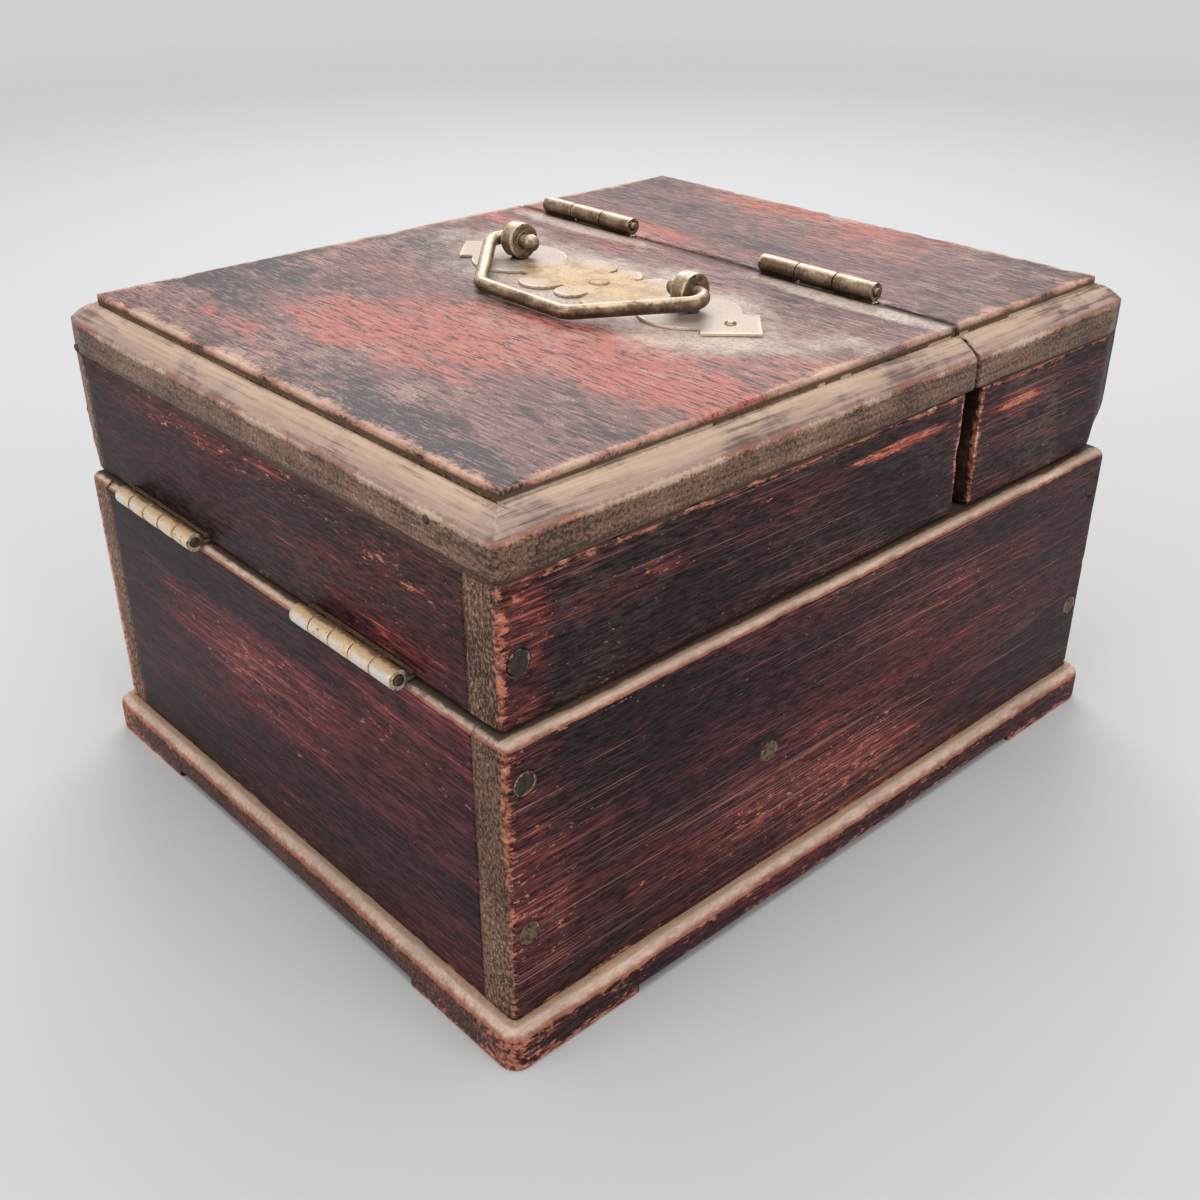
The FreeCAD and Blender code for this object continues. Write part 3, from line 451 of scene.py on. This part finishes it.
# Lid and flap boards: the same construction as the body, lower, with the side boards running through
# to the back and to the front. Both leaves stop short of each other at the split.
CORNER_REACH = (9.0 * MM, 9.0 * MM, 200.0 * MM)
CORNER_IN = 1.2 * MM
flap_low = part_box("flap_side_left")[LOW]
lid_side_finish = lacquer(
    "lid_side_lacquer", Y, red=-1.3, scored=1.0, flecks=1.5, smoke=0.3, split=-1.0,
    rubs=[
        ((LID_HIGH[X], LID_HIGH[Y], 0.09), (4.0 * MM, 9.0 * MM, 40.0 * MM), 0.5),
        ((LID_LOW[X], LID_HIGH[Y] - 8.0 * MM, 0.09), (8.0 * MM, 8.0 * MM, 30.0 * MM), 0.18),
    ],
    patches=[
        ((LID_LOW[X], -0.018, 0.0975), (0.03, 0.022, 0.0022), 0.3),
        ((LID_LOW[X], 0.069, 0.0925), (0.03, 0.016, 0.004), 0.19),
        ((LID_LOW[X], 0.03, 0.096), (0.03, 0.03, 0.005), 0.13),
        ((LID_LOW[X], 0.091, 0.09), (0.03, 0.007, 0.02), 0.17),
    ],
)
flap_side_finish = lacquer(
    "flap_side_lacquer", Y, red=-1.0, scored=0.6, flecks=1.5, smoke=0.6, split=1.0,
    patches=[((flap_low[X], -0.058, 0.0965), (0.03, 0.018, 0.0024), 0.26)],
)
flap_knock = [
    (flap_low, (11.0 * MM, 11.0 * MM, 11.0 * MM), (0.4 * MM, 2.6 * MM, 2.6 * MM)),
    (flap_low, CORNER_REACH, (CORNER_IN, CORNER_IN, 0.0)),
]
far_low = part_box("lid_side_right")[LOW]
far_corner = np.array((LID_HIGH[X], LID_HIGH[Y], far_low[Z]))
far_knock = [
    (far_corner, (7.0 * MM, 7.0 * MM, 7.0 * MM), (-0.8 * MM, -0.8 * MM, 1.4 * MM)),
    (far_corner, CORNER_REACH, (-CORNER_IN, -CORNER_IN, 0.0)),
]
for node, body, end, finish, knocks in (
    ("lid_side_left", "lid", LOW, lid_side_finish, ()),
    ("lid_side_right", "lid", HIGH, lid_side_finish, far_knock),
    ("flap_side_left", "flap", LOW, flap_side_finish, flap_knock),
    ("flap_side_right", "flap", HIGH, flap_side_finish, ()),
):
    worn_copy(node, body, "lacquered_wood", finish, outer=(X, end), upright=0.95, crown=0.95, knocks=knocks)
lid_back_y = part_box("lid_back")[HIGH][Y]
lid_wall_finish = lacquer(
    "lid_wall_lacquer", X, red=-0.6, smoke=0.2,
    patches=[
        ((0.022, lid_back_y, 0.099), (0.05, 0.03, 0.004), 0.09),
        ((-0.056, lid_back_y, 0.097), (0.018, 0.03, 0.006), 0.12),
    ],
)
for node, body, end in (("lid_back", "lid", HIGH), ("flap_front", "flap", LOW)):
    worn_copy(node, body, "lacquered_wood", lid_wall_finish, outer=(Y, end), upright=0.0, crown=0.6)

# Top boards: two wide boards with a raised field, moulded all round by hand. The field is rubbed
# to mauve and red, the moulding is pale with dust and handling, and its quirk is darker.
top_low, top_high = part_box("lid_top")
SEAM, FIELD, SPLIT = top_low[Z], top_high[Z], top_low[Y]
BAND_TOP, SHOULDER = SEAM + 7.0 * MM, FIELD - 2.0 * MM
FIELD_DARK = colour(0.042, 0.026, 0.026)
FIELD_MAUVE = colour(0.19, 0.086, 0.078)
FIELD_RED = colour(0.43, 0.11, 0.078)
FIELD_DUST = colour(0.45, 0.295, 0.245)
HALO_DUST = colour(0.7, 0.58, 0.48)
MOULD_CREAM = colour(0.55, 0.39, 0.28)
MOULD_PINK = colour(0.46, 0.315, 0.255)
MOULD_GREY = colour(0.33, 0.25, 0.215)
MOULD_BROWN = colour(0.13, 0.07, 0.062)
RECESS_DARK = colour(0.06, 0.042, 0.03)


def top_finish(name, patches, halos=()):
    """A top board from its band up: flecked band, dusty moulding, darker quirk and rubbed field."""
    coat = Finish(name)
    worn, margin = coat.mark("worn"), coat.mark("margin")
    clouds = coat.figure((14.0, 28.0, 28.0))
    bands = coat.figure((16.0, 95.0, 95.0), detail=5.0, rough=0.7, warp=0.8)
    streaks = coat.figure((80.0, 700.0, 700.0), detail=4.0, rough=0.72, warp=0.8)
    pores = coat.figure((190.0, 1400.0, 1400.0), rough=0.7, warp=0.4)
    grit = coat.figure((1350.0, 1350.0, 1350.0), rough=0.75)
    fleck = coat.figure((1000.0, 1200.0, 1500.0), detail=4.0, rough=0.8)
    drift = coat.figure((45.0, 45.0, 45.0), detail=5.0, rough=0.7)
    lean_x, lean_y = [coat.work("ABSOLUTE", coat.facing[axis]) for axis in (X, Y)]
    planed = coat.tint(
        coat.between(coat.work("SUBTRACT", lean_x, lean_y), -0.1, 0.1),
        coat.figure((50.0, 1100.0, 1100.0)), coat.figure((1100.0, 50.0, 1100.0)),
    )

    height = coat.spot[Z]
    on_field = coat.between(height, FIELD - 1.5 * MM, FIELD - 1.0 * MM)
    rise = coat.plus(height, coat.off_centre(drift, 3.0 * MM), coat.off_centre(fleck, 2.0 * MM))
    slope = coat.between(rise, BAND_TOP - 1.0 * MM, BAND_TOP + 0.4 * MM)
    slope = coat.times(coat.between(coat.facing[Z], 0.2, 0.45), slope)
    quirk = coat.plus(height, coat.off_centre(fleck, 1.0 * MM))
    quirk = coat.between(quirk, SHOULDER - 0.4 * MM, SHOULDER + 0.2 * MM)
    groove = coat.times(quirk, coat.without(on_field))

    speckle = coat.plus(coat.times(fleck, 0.7), coat.times(planed, 0.3), coat.off_centre(drift, 0.35))
    band = coat.tint(coat.between(speckle, 0.42, 0.54), SAWN_DARK, TAN)
    band = coat.tint(coat.times(coat.between(speckle, 0.57, 0.64), 0.6), band, CREAM)
    by_seam = coat.between(height, SEAM + 0.7 * MM, SEAM + 0.3 * MM)
    band = coat.tint(coat.times(by_seam, 0.8), band, BLACK_FILM)

    mould = coat.tint(coat.between(rise, BAND_TOP - 0.2 * MM, BAND_TOP + 1.0 * MM), MOULD_BROWN, MOULD_PINK)
    mould = coat.tint(coat.between(rise, BAND_TOP + 1.2 * MM, SHOULDER - 0.4 * MM), mould, MOULD_CREAM)
    mould = coat.tint(coat.times(coat.between(drift, 0.5, 0.36), 0.6), mould, MOULD_GREY)
    bruise = coat.plus(coat.times(drift, 0.5), coat.times(planed, 0.5))
    mould = coat.tint(coat.times(coat.between(bruise, 0.49, 0.38), 0.7), mould, MOULD_BROWN)
    mould = coat.shade(mould, coat.between(planed, 0.35, 0.65, 0.86, 1.1))
    mould = coat.tint(coat.times(coat.between(grit, 0.63, 0.69), 0.4), mould, DUST_ORANGE)

    zone = coat.off_centre(clouds, 0.45)
    for centre, reach, strength in patches:
        zone = coat.plus(zone, coat.times(coat.patch(centre, reach, drift), strength))
    tone = coat.plus(coat.times(bands, 0.45), coat.times(streaks, 0.3), coat.times(drift, 0.25), zone)
    field = coat.tint(coat.between(tone, 0.38, 0.48), FIELD_DARK, FIELD_MAUVE)
    field = coat.tint(coat.between(tone, 0.53, 0.61), field, FIELD_RED)
    lying = coat.plus(drift, coat.off_centre(streaks, 0.5), coat.off_centre(grit, 0.5))
    field = coat.tint(coat.times(coat.between(lying, 0.52, 0.68), 0.5), field, FIELD_DUST)
    field = coat.tint(coat.times(coat.between(pores, 0.44, 0.36), 0.45), field, FIELD_DUST)
    field = coat.tint(coat.times(coat.between(pores, 0.53, 0.59), 0.9), field, FIELD_DARK)
    field = coat.tint(coat.times(coat.between(grit, 0.65, 0.71), 0.6), field, HALO_DUST)
    edge = coat.plus(margin, coat.off_centre(drift, 1.7), coat.off_centre(fleck, 0.8))
    edge_colour = coat.tint(drift, ORANGE_WOOD, RUBBED)
    field = coat.tint(coat.times(coat.between(edge, 0.7, 0.95), 0.75), field, edge_colour)
    for centre, reach in halos:
        overlay = coat.times(coat.patch(centre, reach, drift), coat.between(fleck, 0.35, 0.6, 0.45, 1.0))
        field = coat.tint(coat.times(overlay, 0.85), field, HALO_DUST)
    # The field is made darker along the split.
    beside = coat.work("ABSOLUTE", coat.work("SUBTRACT", coat.spot[Y], SPLIT))
    field = coat.tint(coat.times(coat.between(beside, 1.6 * MM, 0.8 * MM), 0.9), field, RECESS_DARK)

    base = coat.tint(slope, band, mould)
    off_lip = coat.work("ABSOLUTE", coat.work("SUBTRACT", rise, BAND_TOP - 0.2 * MM))
    lip_colour = coat.tint(coat.between(drift, 0.4, 0.6), DUST_ORANGE, RUBBED)
    base = coat.tint(coat.times(coat.between(off_lip, 0.8 * MM, 0.2 * MM), 0.55), base, lip_colour)
    # The quirk is made darker, mottled with tan.
    base = coat.tint(coat.times(quirk, 0.92), base, coat.tint(coat.times(fleck, 0.6), RECESS_DARK, TAN))
    base = coat.tint(on_field, base, field)
    flaked = coat.plus(coat.times(worn, coat.without(groove)), coat.off_centre(fleck, 1.0))
    flaked = coat.plus(flaked, coat.off_centre(drift, 0.9))
    torn = coat.tint(coat.between(drift, 0.42, 0.58), ORANGE_WOOD, RUBBED)
    base = coat.tint(coat.between(flaked, 0.5, 0.75), base, torn)
    under = coat.between(coat.facing[Z], -0.4, -0.7)
    base = coat.tint(under, base, coat.tint(coat.between(bands, 0.4, 0.62), BARE_DARK, BARE_WOOD))

    gloss = coat.plus(0.4, coat.off_centre(pores, 0.3), coat.off_centre(grit, 0.2), coat.times(groove, 0.2))
    coat.shader.inputs["Specular IOR Level"].default_value = 0.18
    relief = coat.plus(coat.times(pores, -0.7), coat.times(grit, 0.2), coat.times(fleck, 0.3))
    return coat.done(base, gloss, relief, 0.3 * MM)


handle_low, handle_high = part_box("handle_plate")
handle_middle = (handle_low + handle_high) / 2
lid_top_finish = top_finish(
    "lid_top_lacquer",
    [
        ((-0.022, 0.034, FIELD), (0.045, 0.014, 0.02), 0.12),
        ((0.0, 0.056, FIELD), (0.04, 0.014, 0.02), 0.09),
        ((-0.05, 0.033, FIELD), (0.025, 0.014, 0.02), 0.08),
        ((0.04, 0.064, FIELD), (0.04, 0.016, 0.02), 0.06),
        ((0.075, 0.05, FIELD), (0.03, 0.03, 0.02), -0.1),
        ((0.055, 0.008, FIELD), (0.03, 0.014, 0.02), -0.1),
        ((-0.05, -0.02, FIELD), (0.03, 0.02, 0.02), -0.06),
        ((-0.03, 0.085, FIELD), (0.04, 0.01, 0.02), -0.06),
    ],
    halos=[
        (tuple(handle_middle), (0.066, 0.024, 0.02)),
        ((-0.045, SPLIT + 4.0 * MM, FIELD), (0.03, 0.004, 0.02)),
        ((0.045, SPLIT + 4.0 * MM, FIELD), (0.03, 0.004, 0.02)),
    ],
)
lid_corner = [(top_high, CORNER_REACH, (-CORNER_IN, -CORNER_IN, 0.0))]
worn_copy(
    "lid_top", "lid", "lacquered_wood", lid_top_finish,
    boxed=False, spared=SPLIT, rub=0.3 * MM, knocks=lid_corner,
)
flap_top_finish = top_finish("flap_top_lacquer", [((0.0, -0.088, FIELD), (0.05, 0.01, 0.02), 0.1)])
flap_corner = [(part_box("flap_top")[LOW], CORNER_REACH, (CORNER_IN, CORNER_IN, 0.0))]
worn_copy(
    "flap_top", "flap", "lacquered_wood", flap_top_finish,
    boxed=False, spared=SPLIT, rub=0.3 * MM, knocks=flap_corner,
)

# Partition: a plain thin board across the inside, never lacquered, set between the two sides and held
# by a peg at each end.
bare = Finish("bare_board")
rings = bare.figure((9.0, 160.0, 110.0), detail=4.0, warp=0.6)
hairs = bare.figure((130.0, 3000.0, 3000.0), detail=2.0)
bare_tone = bare.between(bare.plus(rings, bare.off_centre(hairs, 0.4)), 0.4, 0.62)
bare_colour = bare.tint(bare_tone, BARE_DARK, BARE_WOOD)
bare_gloss = bare.plus(0.62, bare.off_centre(hairs, 0.2))
worn_copy("partition", "box", "bare_wood", bare.done(bare_colour, bare_gloss, hairs, 0.2 * MM))

# Pegs: short round hardwood pins driven through the sides into the ends of the other boards and cut
# off flush. Their end grain has gone grey-brown, with a thin pale line where the hole's edge is worn.
PEG_DARK = colour(0.03, 0.021, 0.019)
PEG_BROWN = colour(0.06, 0.036, 0.032)
PEG_TAN = colour(0.17, 0.11, 0.068)
peg = Finish("peg_end_grain")
peg_grain = peg.figure((900.0, 900.0, 900.0), rough=0.7)
peg_colour = peg.tint(peg.between(peg_grain, 0.4, 0.62), PEG_DARK, PEG_BROWN)
cleaner = peg.times(peg.between(peg.spot[Z], 0.055, 0.045), peg.between(peg_grain, 0.36, 0.56))
peg_colour = peg.tint(cleaner, peg_colour, PEG_TAN)
peg_rim = peg.plus(peg.mark("worn"), peg.off_centre(peg_grain, 0.9))
peg_colour = peg.tint(peg.times(peg.between(peg_rim, 0.75, 0.95), 0.7), peg_colour, CREAM)
peg.shader.inputs["Specular IOR Level"].default_value = 0.15
peg_gloss = peg.plus(0.55, peg.off_centre(peg_grain, 0.3))
peg_finish = peg.done(peg_colour, peg_gloss, peg_grain, 0.3 * MM)
for node, body in (("body_pegs", "box"), ("lid_pegs", "lid")):
    worn_copy(
        node, body, "peg_wood", peg_finish, boxed=False, upright=1.0,
        pitch=1.3 * MM, broken=0.12 * MM, rub=0.1 * MM, sliver=0.04 * MM, refine=False,
    )

# Back hinges: two long butt hinges of sheet brass, the leaves let in between body and lid and the rolled
# knuckles standing out behind. Old pale paint and tarnish cover the metal, with rust in its pits.
HINGE_CREAM = colour(0.78, 0.59, 0.4)
HINGE_GREY = colour(0.7, 0.67, 0.62)
HINGE_OCHRE = colour(0.56, 0.33, 0.13)
RUST = colour(0.13, 0.065, 0.036)
SOOT_AND_SHADE = colour(0.042, 0.027, 0.018)


def metal(name, main, second, edge, stain, shine, gloss, above=None, underside_shade=0.0, sunk=None):
    """Old worked metal: two tones in clouds, edges rubbed to a third, and stains in the pits.

    Above is the colour of the upper side: ochre rust on the hinges, dust with a painted highlight on the
    iron. The lower side is darkened by a share of painted shade, and sunk is the Y of the board behind
    which the metal is made darker.
    """
    coat = Finish(name)
    worn = coat.mark("worn")
    clouds = coat.figure((150.0, 210.0, 210.0), rough=0.7)
    pits = coat.figure((1200.0, 1200.0, 1200.0), rough=0.7)
    wipes = coat.figure((120.0, 1300.0, 1300.0), detail=2.0)
    tone = coat.plus(clouds, coat.off_centre(pits, 0.35), coat.off_centre(wipes, 0.25))
    base = coat.tint(coat.between(tone, 0.42, 0.6), main, second)
    handled = coat.between(coat.plus(worn, coat.off_centre(pits, 0.9)), 0.55, 0.95)
    base = coat.tint(coat.times(handled, 0.8), base, edge)
    spoiled = coat.plus(coat.times(pits, 0.6), coat.times(clouds, 0.4))
    base = coat.tint(coat.times(coat.between(spoiled, 0.44, 0.36), 0.75), base, stain)
    tilt = coat.plus(coat.facing[Z], coat.off_centre(clouds, 1.2), coat.off_centre(pits, 0.7))
    # Painted shade: the lower side is darkened by the given share.
    base = coat.tint(coat.times(coat.between(tilt, 0.3, -0.35), underside_shade), base, SOOT_AND_SHADE)
    # The upper side takes the above colour: ochre rust on the hinges, and on the iron dust with a painted
    # highlight.
    if above:
        base = coat.tint(coat.times(coat.between(tilt, 0.45, 0.95), 0.75), base, above)
    roughness = coat.plus(gloss, coat.off_centre(pits, 0.35), coat.off_centre(wipes, 0.2))
    if sunk:
        # Behind the board's face the metal is made darker.
        depth = coat.plus(coat.spot[Y], coat.off_centre(clouds, 2.0 * MM))
        buried = coat.between(depth, sunk + 0.6 * MM, sunk - 0.4 * MM)
        behind = coat.plus(tilt, coat.times(coat.facing[Y], -0.9))
        base = coat.tint(coat.times(coat.between(behind, 0.75, 1.15), 0.8), base, stain)
        sunk_dark = coat.tint(coat.between(pits, 0.4, 0.6), SOOT_AND_SHADE, stain)
        base = coat.tint(coat.times(buried, 0.9), base, sunk_dark)
        roughness = coat.plus(roughness, coat.times(buried, 0.4))
        coat.shader.inputs["Specular IOR Level"].default_value = 0.25
    coat.shader.inputs["Metallic"].default_value = shine
    relief = coat.plus(pits, coat.times(wipes, 0.4))
    return coat.done(base, roughness, relief, 0.1 * MM)


hinge_finish = metal(
    "hinge_brass", HINGE_CREAM, HINGE_GREY, HINGE_OCHRE, RUST, 0.1, 0.34, above=HINGE_OCHRE, sunk=back_y,
)
rust_finish = metal("rusty_iron", RUST, SOOT_AND_SHADE, HINGE_OCHRE, SOOT_AND_SHADE, 0.2, 0.6)
fine = dict(
    boxed=False, upright=1.0, pitch=1.2 * MM, broken=0.15 * MM, rub=0.12 * MM, dent=0.05 * MM,
    sliver=0.04 * MM, refine=False,
)
for side in ("left", "right"):
    worn_copy(f"back_hinge_{side}_body_leaf", "box", "hinge_brass", hinge_finish, **fine)
    worn_copy(f"back_hinge_{side}_lid_leaf", "lid", "hinge_brass", hinge_finish, **fine)
    worn_copy(f"back_hinge_{side}_pin", "box", "old_iron", rust_finish, **fine)

# Top hinges: iron butt hinges with their leaves standing in the split, so only the brown barrels
# lie on the field. The hinges and the handle plate are held by small iron nails with flat heads.
IRON_BROWN = colour(0.16, 0.096, 0.052)
IRON_GREY = colour(0.27, 0.185, 0.112)
IRON_BRIGHT = colour(0.8, 0.62, 0.41)
IRON_DUST_AND_HIGHLIGHT = colour(0.68, 0.52, 0.37)
# The iron is pale on its upper side with dust and a painted highlight, and shaded dark below.
iron_finish = metal(
    "old_iron", IRON_BROWN, IRON_GREY, IRON_BRIGHT, RUST, 0.45, 0.34, above=IRON_DUST_AND_HIGHLIGHT, underside_shade=0.8,
)
for side in ("left", "right"):
    worn_copy(f"top_hinge_{side}_lid_leaf", "lid", "old_iron", iron_finish, **fine)
    worn_copy(f"top_hinge_{side}_flap_leaf", "flap", "old_iron", iron_finish, **fine)
    worn_copy(f"top_hinge_{side}_pin", "lid", "old_iron", iron_finish, **fine)
for node, body in (
    ("body_hinge_nails", "box"), ("lid_back_hinge_nails", "lid"), ("lid_top_hinge_nails", "lid"),
    ("flap_hinge_nails", "flap"), ("plate_nails", "lid"),
):
    worn_copy(node, body, "old_iron", iron_finish, **fine)

# Handle: a bail of iron rod hung in two rolled eyes, whose legs go down through a cusped plate of thin
# sheet brass and through the top board. The plate is dusty, tarnished tan in the middle and rubbed pale
# along its edge, with a low boss in its middle.
PLATE_TAN = colour(0.56, 0.375, 0.19)
PLATE_BROWN = colour(0.36, 0.225, 0.115)
PLATE_DUSTY = colour(0.5, 0.4, 0.33)
PLATE_PALE = colour(0.76, 0.62, 0.48)
plate = Finish("plate_brass")
plate_drift = plate.figure((120.0, 120.0, 120.0), detail=4.0, rough=0.65)
plate_grit = plate.figure((1100.0, 1100.0, 1100.0), rough=0.7)
bright = plate.patch(tuple(handle_middle), (0.024, 0.013, 0.02), plate_drift)
plate_tone = plate.plus(plate_drift, plate.off_centre(plate_grit, 0.5))
plate_colour = plate.tint(plate.between(plate_tone, 0.36, 0.6), PLATE_BROWN, PLATE_TAN)
plate_colour = plate.tint(bright, PLATE_DUSTY, plate_colour)
plate_rim = plate.plus(plate.mark("worn"), plate.off_centre(plate_grit, 0.6))
plate_rim = plate.plus(plate_rim, plate.off_centre(plate_drift, 0.8))
plate_colour = plate.tint(plate.times(plate.between(plate_rim, 0.5, 0.8), 0.8), plate_colour, PLATE_PALE)
plate_colour = plate.tint(plate.times(plate.between(plate_grit, 0.4, 0.32), 0.5), plate_colour, SOOT_AND_SHADE)
plate.shader.inputs["Metallic"].default_value = 0.25
plate_gloss = plate.plus(0.48, plate.off_centre(plate_grit, 0.3), plate.off_centre(plate_drift, 0.3))
plate_finish = plate.done(plate_colour, plate_gloss, plate_grit, 0.12 * MM)
worn_copy("handle_plate", "lid", "plate_brass", plate_finish, **fine)
for side in ("left", "right"):
    worn_copy(f"handle_eye_{side}", "lid", "old_iron", iron_finish, **fine)
worn_copy("bail", "bail", "old_iron", iron_finish, **fine)


def small_boss(name, body, finish, at, radius, flat):
    """A low round boss: a ball pressed flat along one axis, half sunk in what carries it."""
    ball = bmesh.new()
    bmesh.ops.create_uvsphere(ball, u_segments=20, v_segments=12, radius=radius)
    bmesh.ops.scale(ball, vec=flat, verts=ball.verts)
    bmesh.ops.translate(ball, vec=at, verts=ball.verts)
    mesh = bpy.data.meshes.new(name)
    ball.to_mesh(mesh)
    ball.free()
    mesh.shade_smooth()
    mesh.materials.append(finish)
    piece = bpy.data.objects.new(name, mesh)
    bpy.context.scene.collection.objects.link(piece)
    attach(piece, body)


plate_top = (handle_middle[X], handle_middle[Y], handle_high[Z])
small_boss("plate_boss", "lid", plate_finish, plate_top, 2.6 * MM, (1.0, 1.0, 0.25))

# Nail stubs: the rusted ends of small iron nails that once held the top boards, standing just proud of
# the band by the corners.
STUB_RADIUS = 0.9 * MM
stubs = [
    (-0.0585, top_high[Y], 0.1092),
    (-0.0615, top_high[Y], 0.1065),
    (0.081, top_high[Y] - 0.7 * MM, 0.1042),
]
for number, at in enumerate(stubs, start=1):
    small_boss(f"nail_stub_back_{number}", "lid", rust_finish, at, STUB_RADIUS, (1.0, 0.4, 1.0))
side_stub = (top_low[X], 0.0864, 0.1072)
small_boss("nail_stub_side", "lid", rust_finish, side_stub, STUB_RADIUS, (0.4, 1.0, 1.0))

# Floor: plain pale paper that takes the box's shadow and, away from the box, fades into an even pale
# background, which metal reflects too.
FLOOR_PALE = colour(0.64, 0.64, 0.645)
bpy.ops.mesh.primitive_plane_add(size=16.0)
floor = bpy.context.object
floor.name = "floor"
paper = Finish("floor_paper")
paper.shader.inputs["Base Color"].default_value = FLOOR_PALE
paper.shader.inputs["Roughness"].default_value = 0.9
paper.shader.inputs["Specular IOR Level"].default_value = 0.0
rays = paper.add("ShaderNodeLightPath").outputs
seen = paper.plus(rays["Is Camera Ray"], rays["Is Glossy Ray"], rays["Is Transmission Ray"])
distance = paper.add("ShaderNodeVectorMath", {0: paper.where}, operation="LENGTH").outputs["Value"]
far = paper.times(paper.between(distance, 0.35, 1.5), paper.work("MINIMUM", seen, 1.0))
glow = paper.add("ShaderNodeEmission", {"Color": FLOOR_PALE, "Strength": 1.0})
blend = paper.add("ShaderNodeMixShader", {0: far, 1: paper.shader.outputs[0], 2: glow.outputs[0]})
paper.tree.links.new(blend.outputs[0], paper.tree.nodes["Material Output"].inputs["Surface"])
floor.data.materials.append(paper.material)

# Lamps: soft boxes behind, above and to both sides, all turned to the middle of the box, in a pale even
# world that shows the floor's colour wherever it is seen or reflected.
BOX_MIDDLE = Vector((0.0, 0.0, 0.06))


def softbox(name, at, width, height, watts):
    lamp = bpy.data.lights.new(name, "AREA")
    lamp.shape = "RECTANGLE"
    lamp.size, lamp.size_y, lamp.energy = width, height, watts
    made = bpy.data.objects.new(name, lamp)
    made.location = at
    made.rotation_euler = (BOX_MIDDLE - Vector(at)).to_track_quat("-Z", "Y").to_euler()
    bpy.context.scene.collection.objects.link(made)


softbox("softbox_back", (0.62, -0.57, 0.78), 0.9, 0.5, 6.0)
softbox("softbox_above", (-0.1, 0.1, 1.3), 1.2, 1.2, 9.0)
softbox("softbox_left", (0.2, 1.1, 0.6), 0.8, 0.8, 4.6)
softbox("softbox_right", (-1.1, -0.1, 0.6), 0.8, 0.8, 4.6)
sky = bpy.data.worlds.new("studio")
sky.use_nodes = True
air = sky.node_tree
lighting = air.nodes["Background"]
lighting.inputs["Color"].default_value = colour(0.96, 0.97, 1.0)
lighting.inputs["Strength"].default_value = 0.3
backdrop = air.nodes.new("ShaderNodeBackground")
backdrop.inputs["Color"].default_value = FLOOR_PALE
sight = air.nodes.new("ShaderNodeLightPath")
direct = sight.outputs["Is Camera Ray"]
for ray in ("Is Glossy Ray", "Is Transmission Ray"):
    either = air.nodes.new("ShaderNodeMath")
    either.operation = "MAXIMUM"
    air.links.new(direct, either.inputs[0])
    air.links.new(sight.outputs[ray], either.inputs[1])
    direct = either.outputs[0]
shown = air.nodes.new("ShaderNodeMixShader")
air.links.new(direct, shown.inputs[0])
air.links.new(lighting.outputs[0], shown.inputs[1])
air.links.new(backdrop.outputs[0], shown.inputs[2])
air.links.new(shown.outputs[0], air.nodes["World Output"].inputs["Surface"])
scene = bpy.context.scene
scene.world = sky
scene.view_settings.view_transform = "Standard"

# Camera: above and behind the hinge side, where the photograph was taken from.
lens = bpy.data.cameras.new("camera")
lens.lens = 42.21
lens.sensor_width = 36.0
camera = bpy.data.objects.new("camera", lens)
camera.location = (-0.23676, 0.21908, 0.21261)
ahead = Vector((0.64543, -0.59037, -0.48476))
camera.rotation_euler = ahead.to_track_quat("-Z", "Y").to_euler()
scene.collection.objects.link(camera)
scene.camera = camera
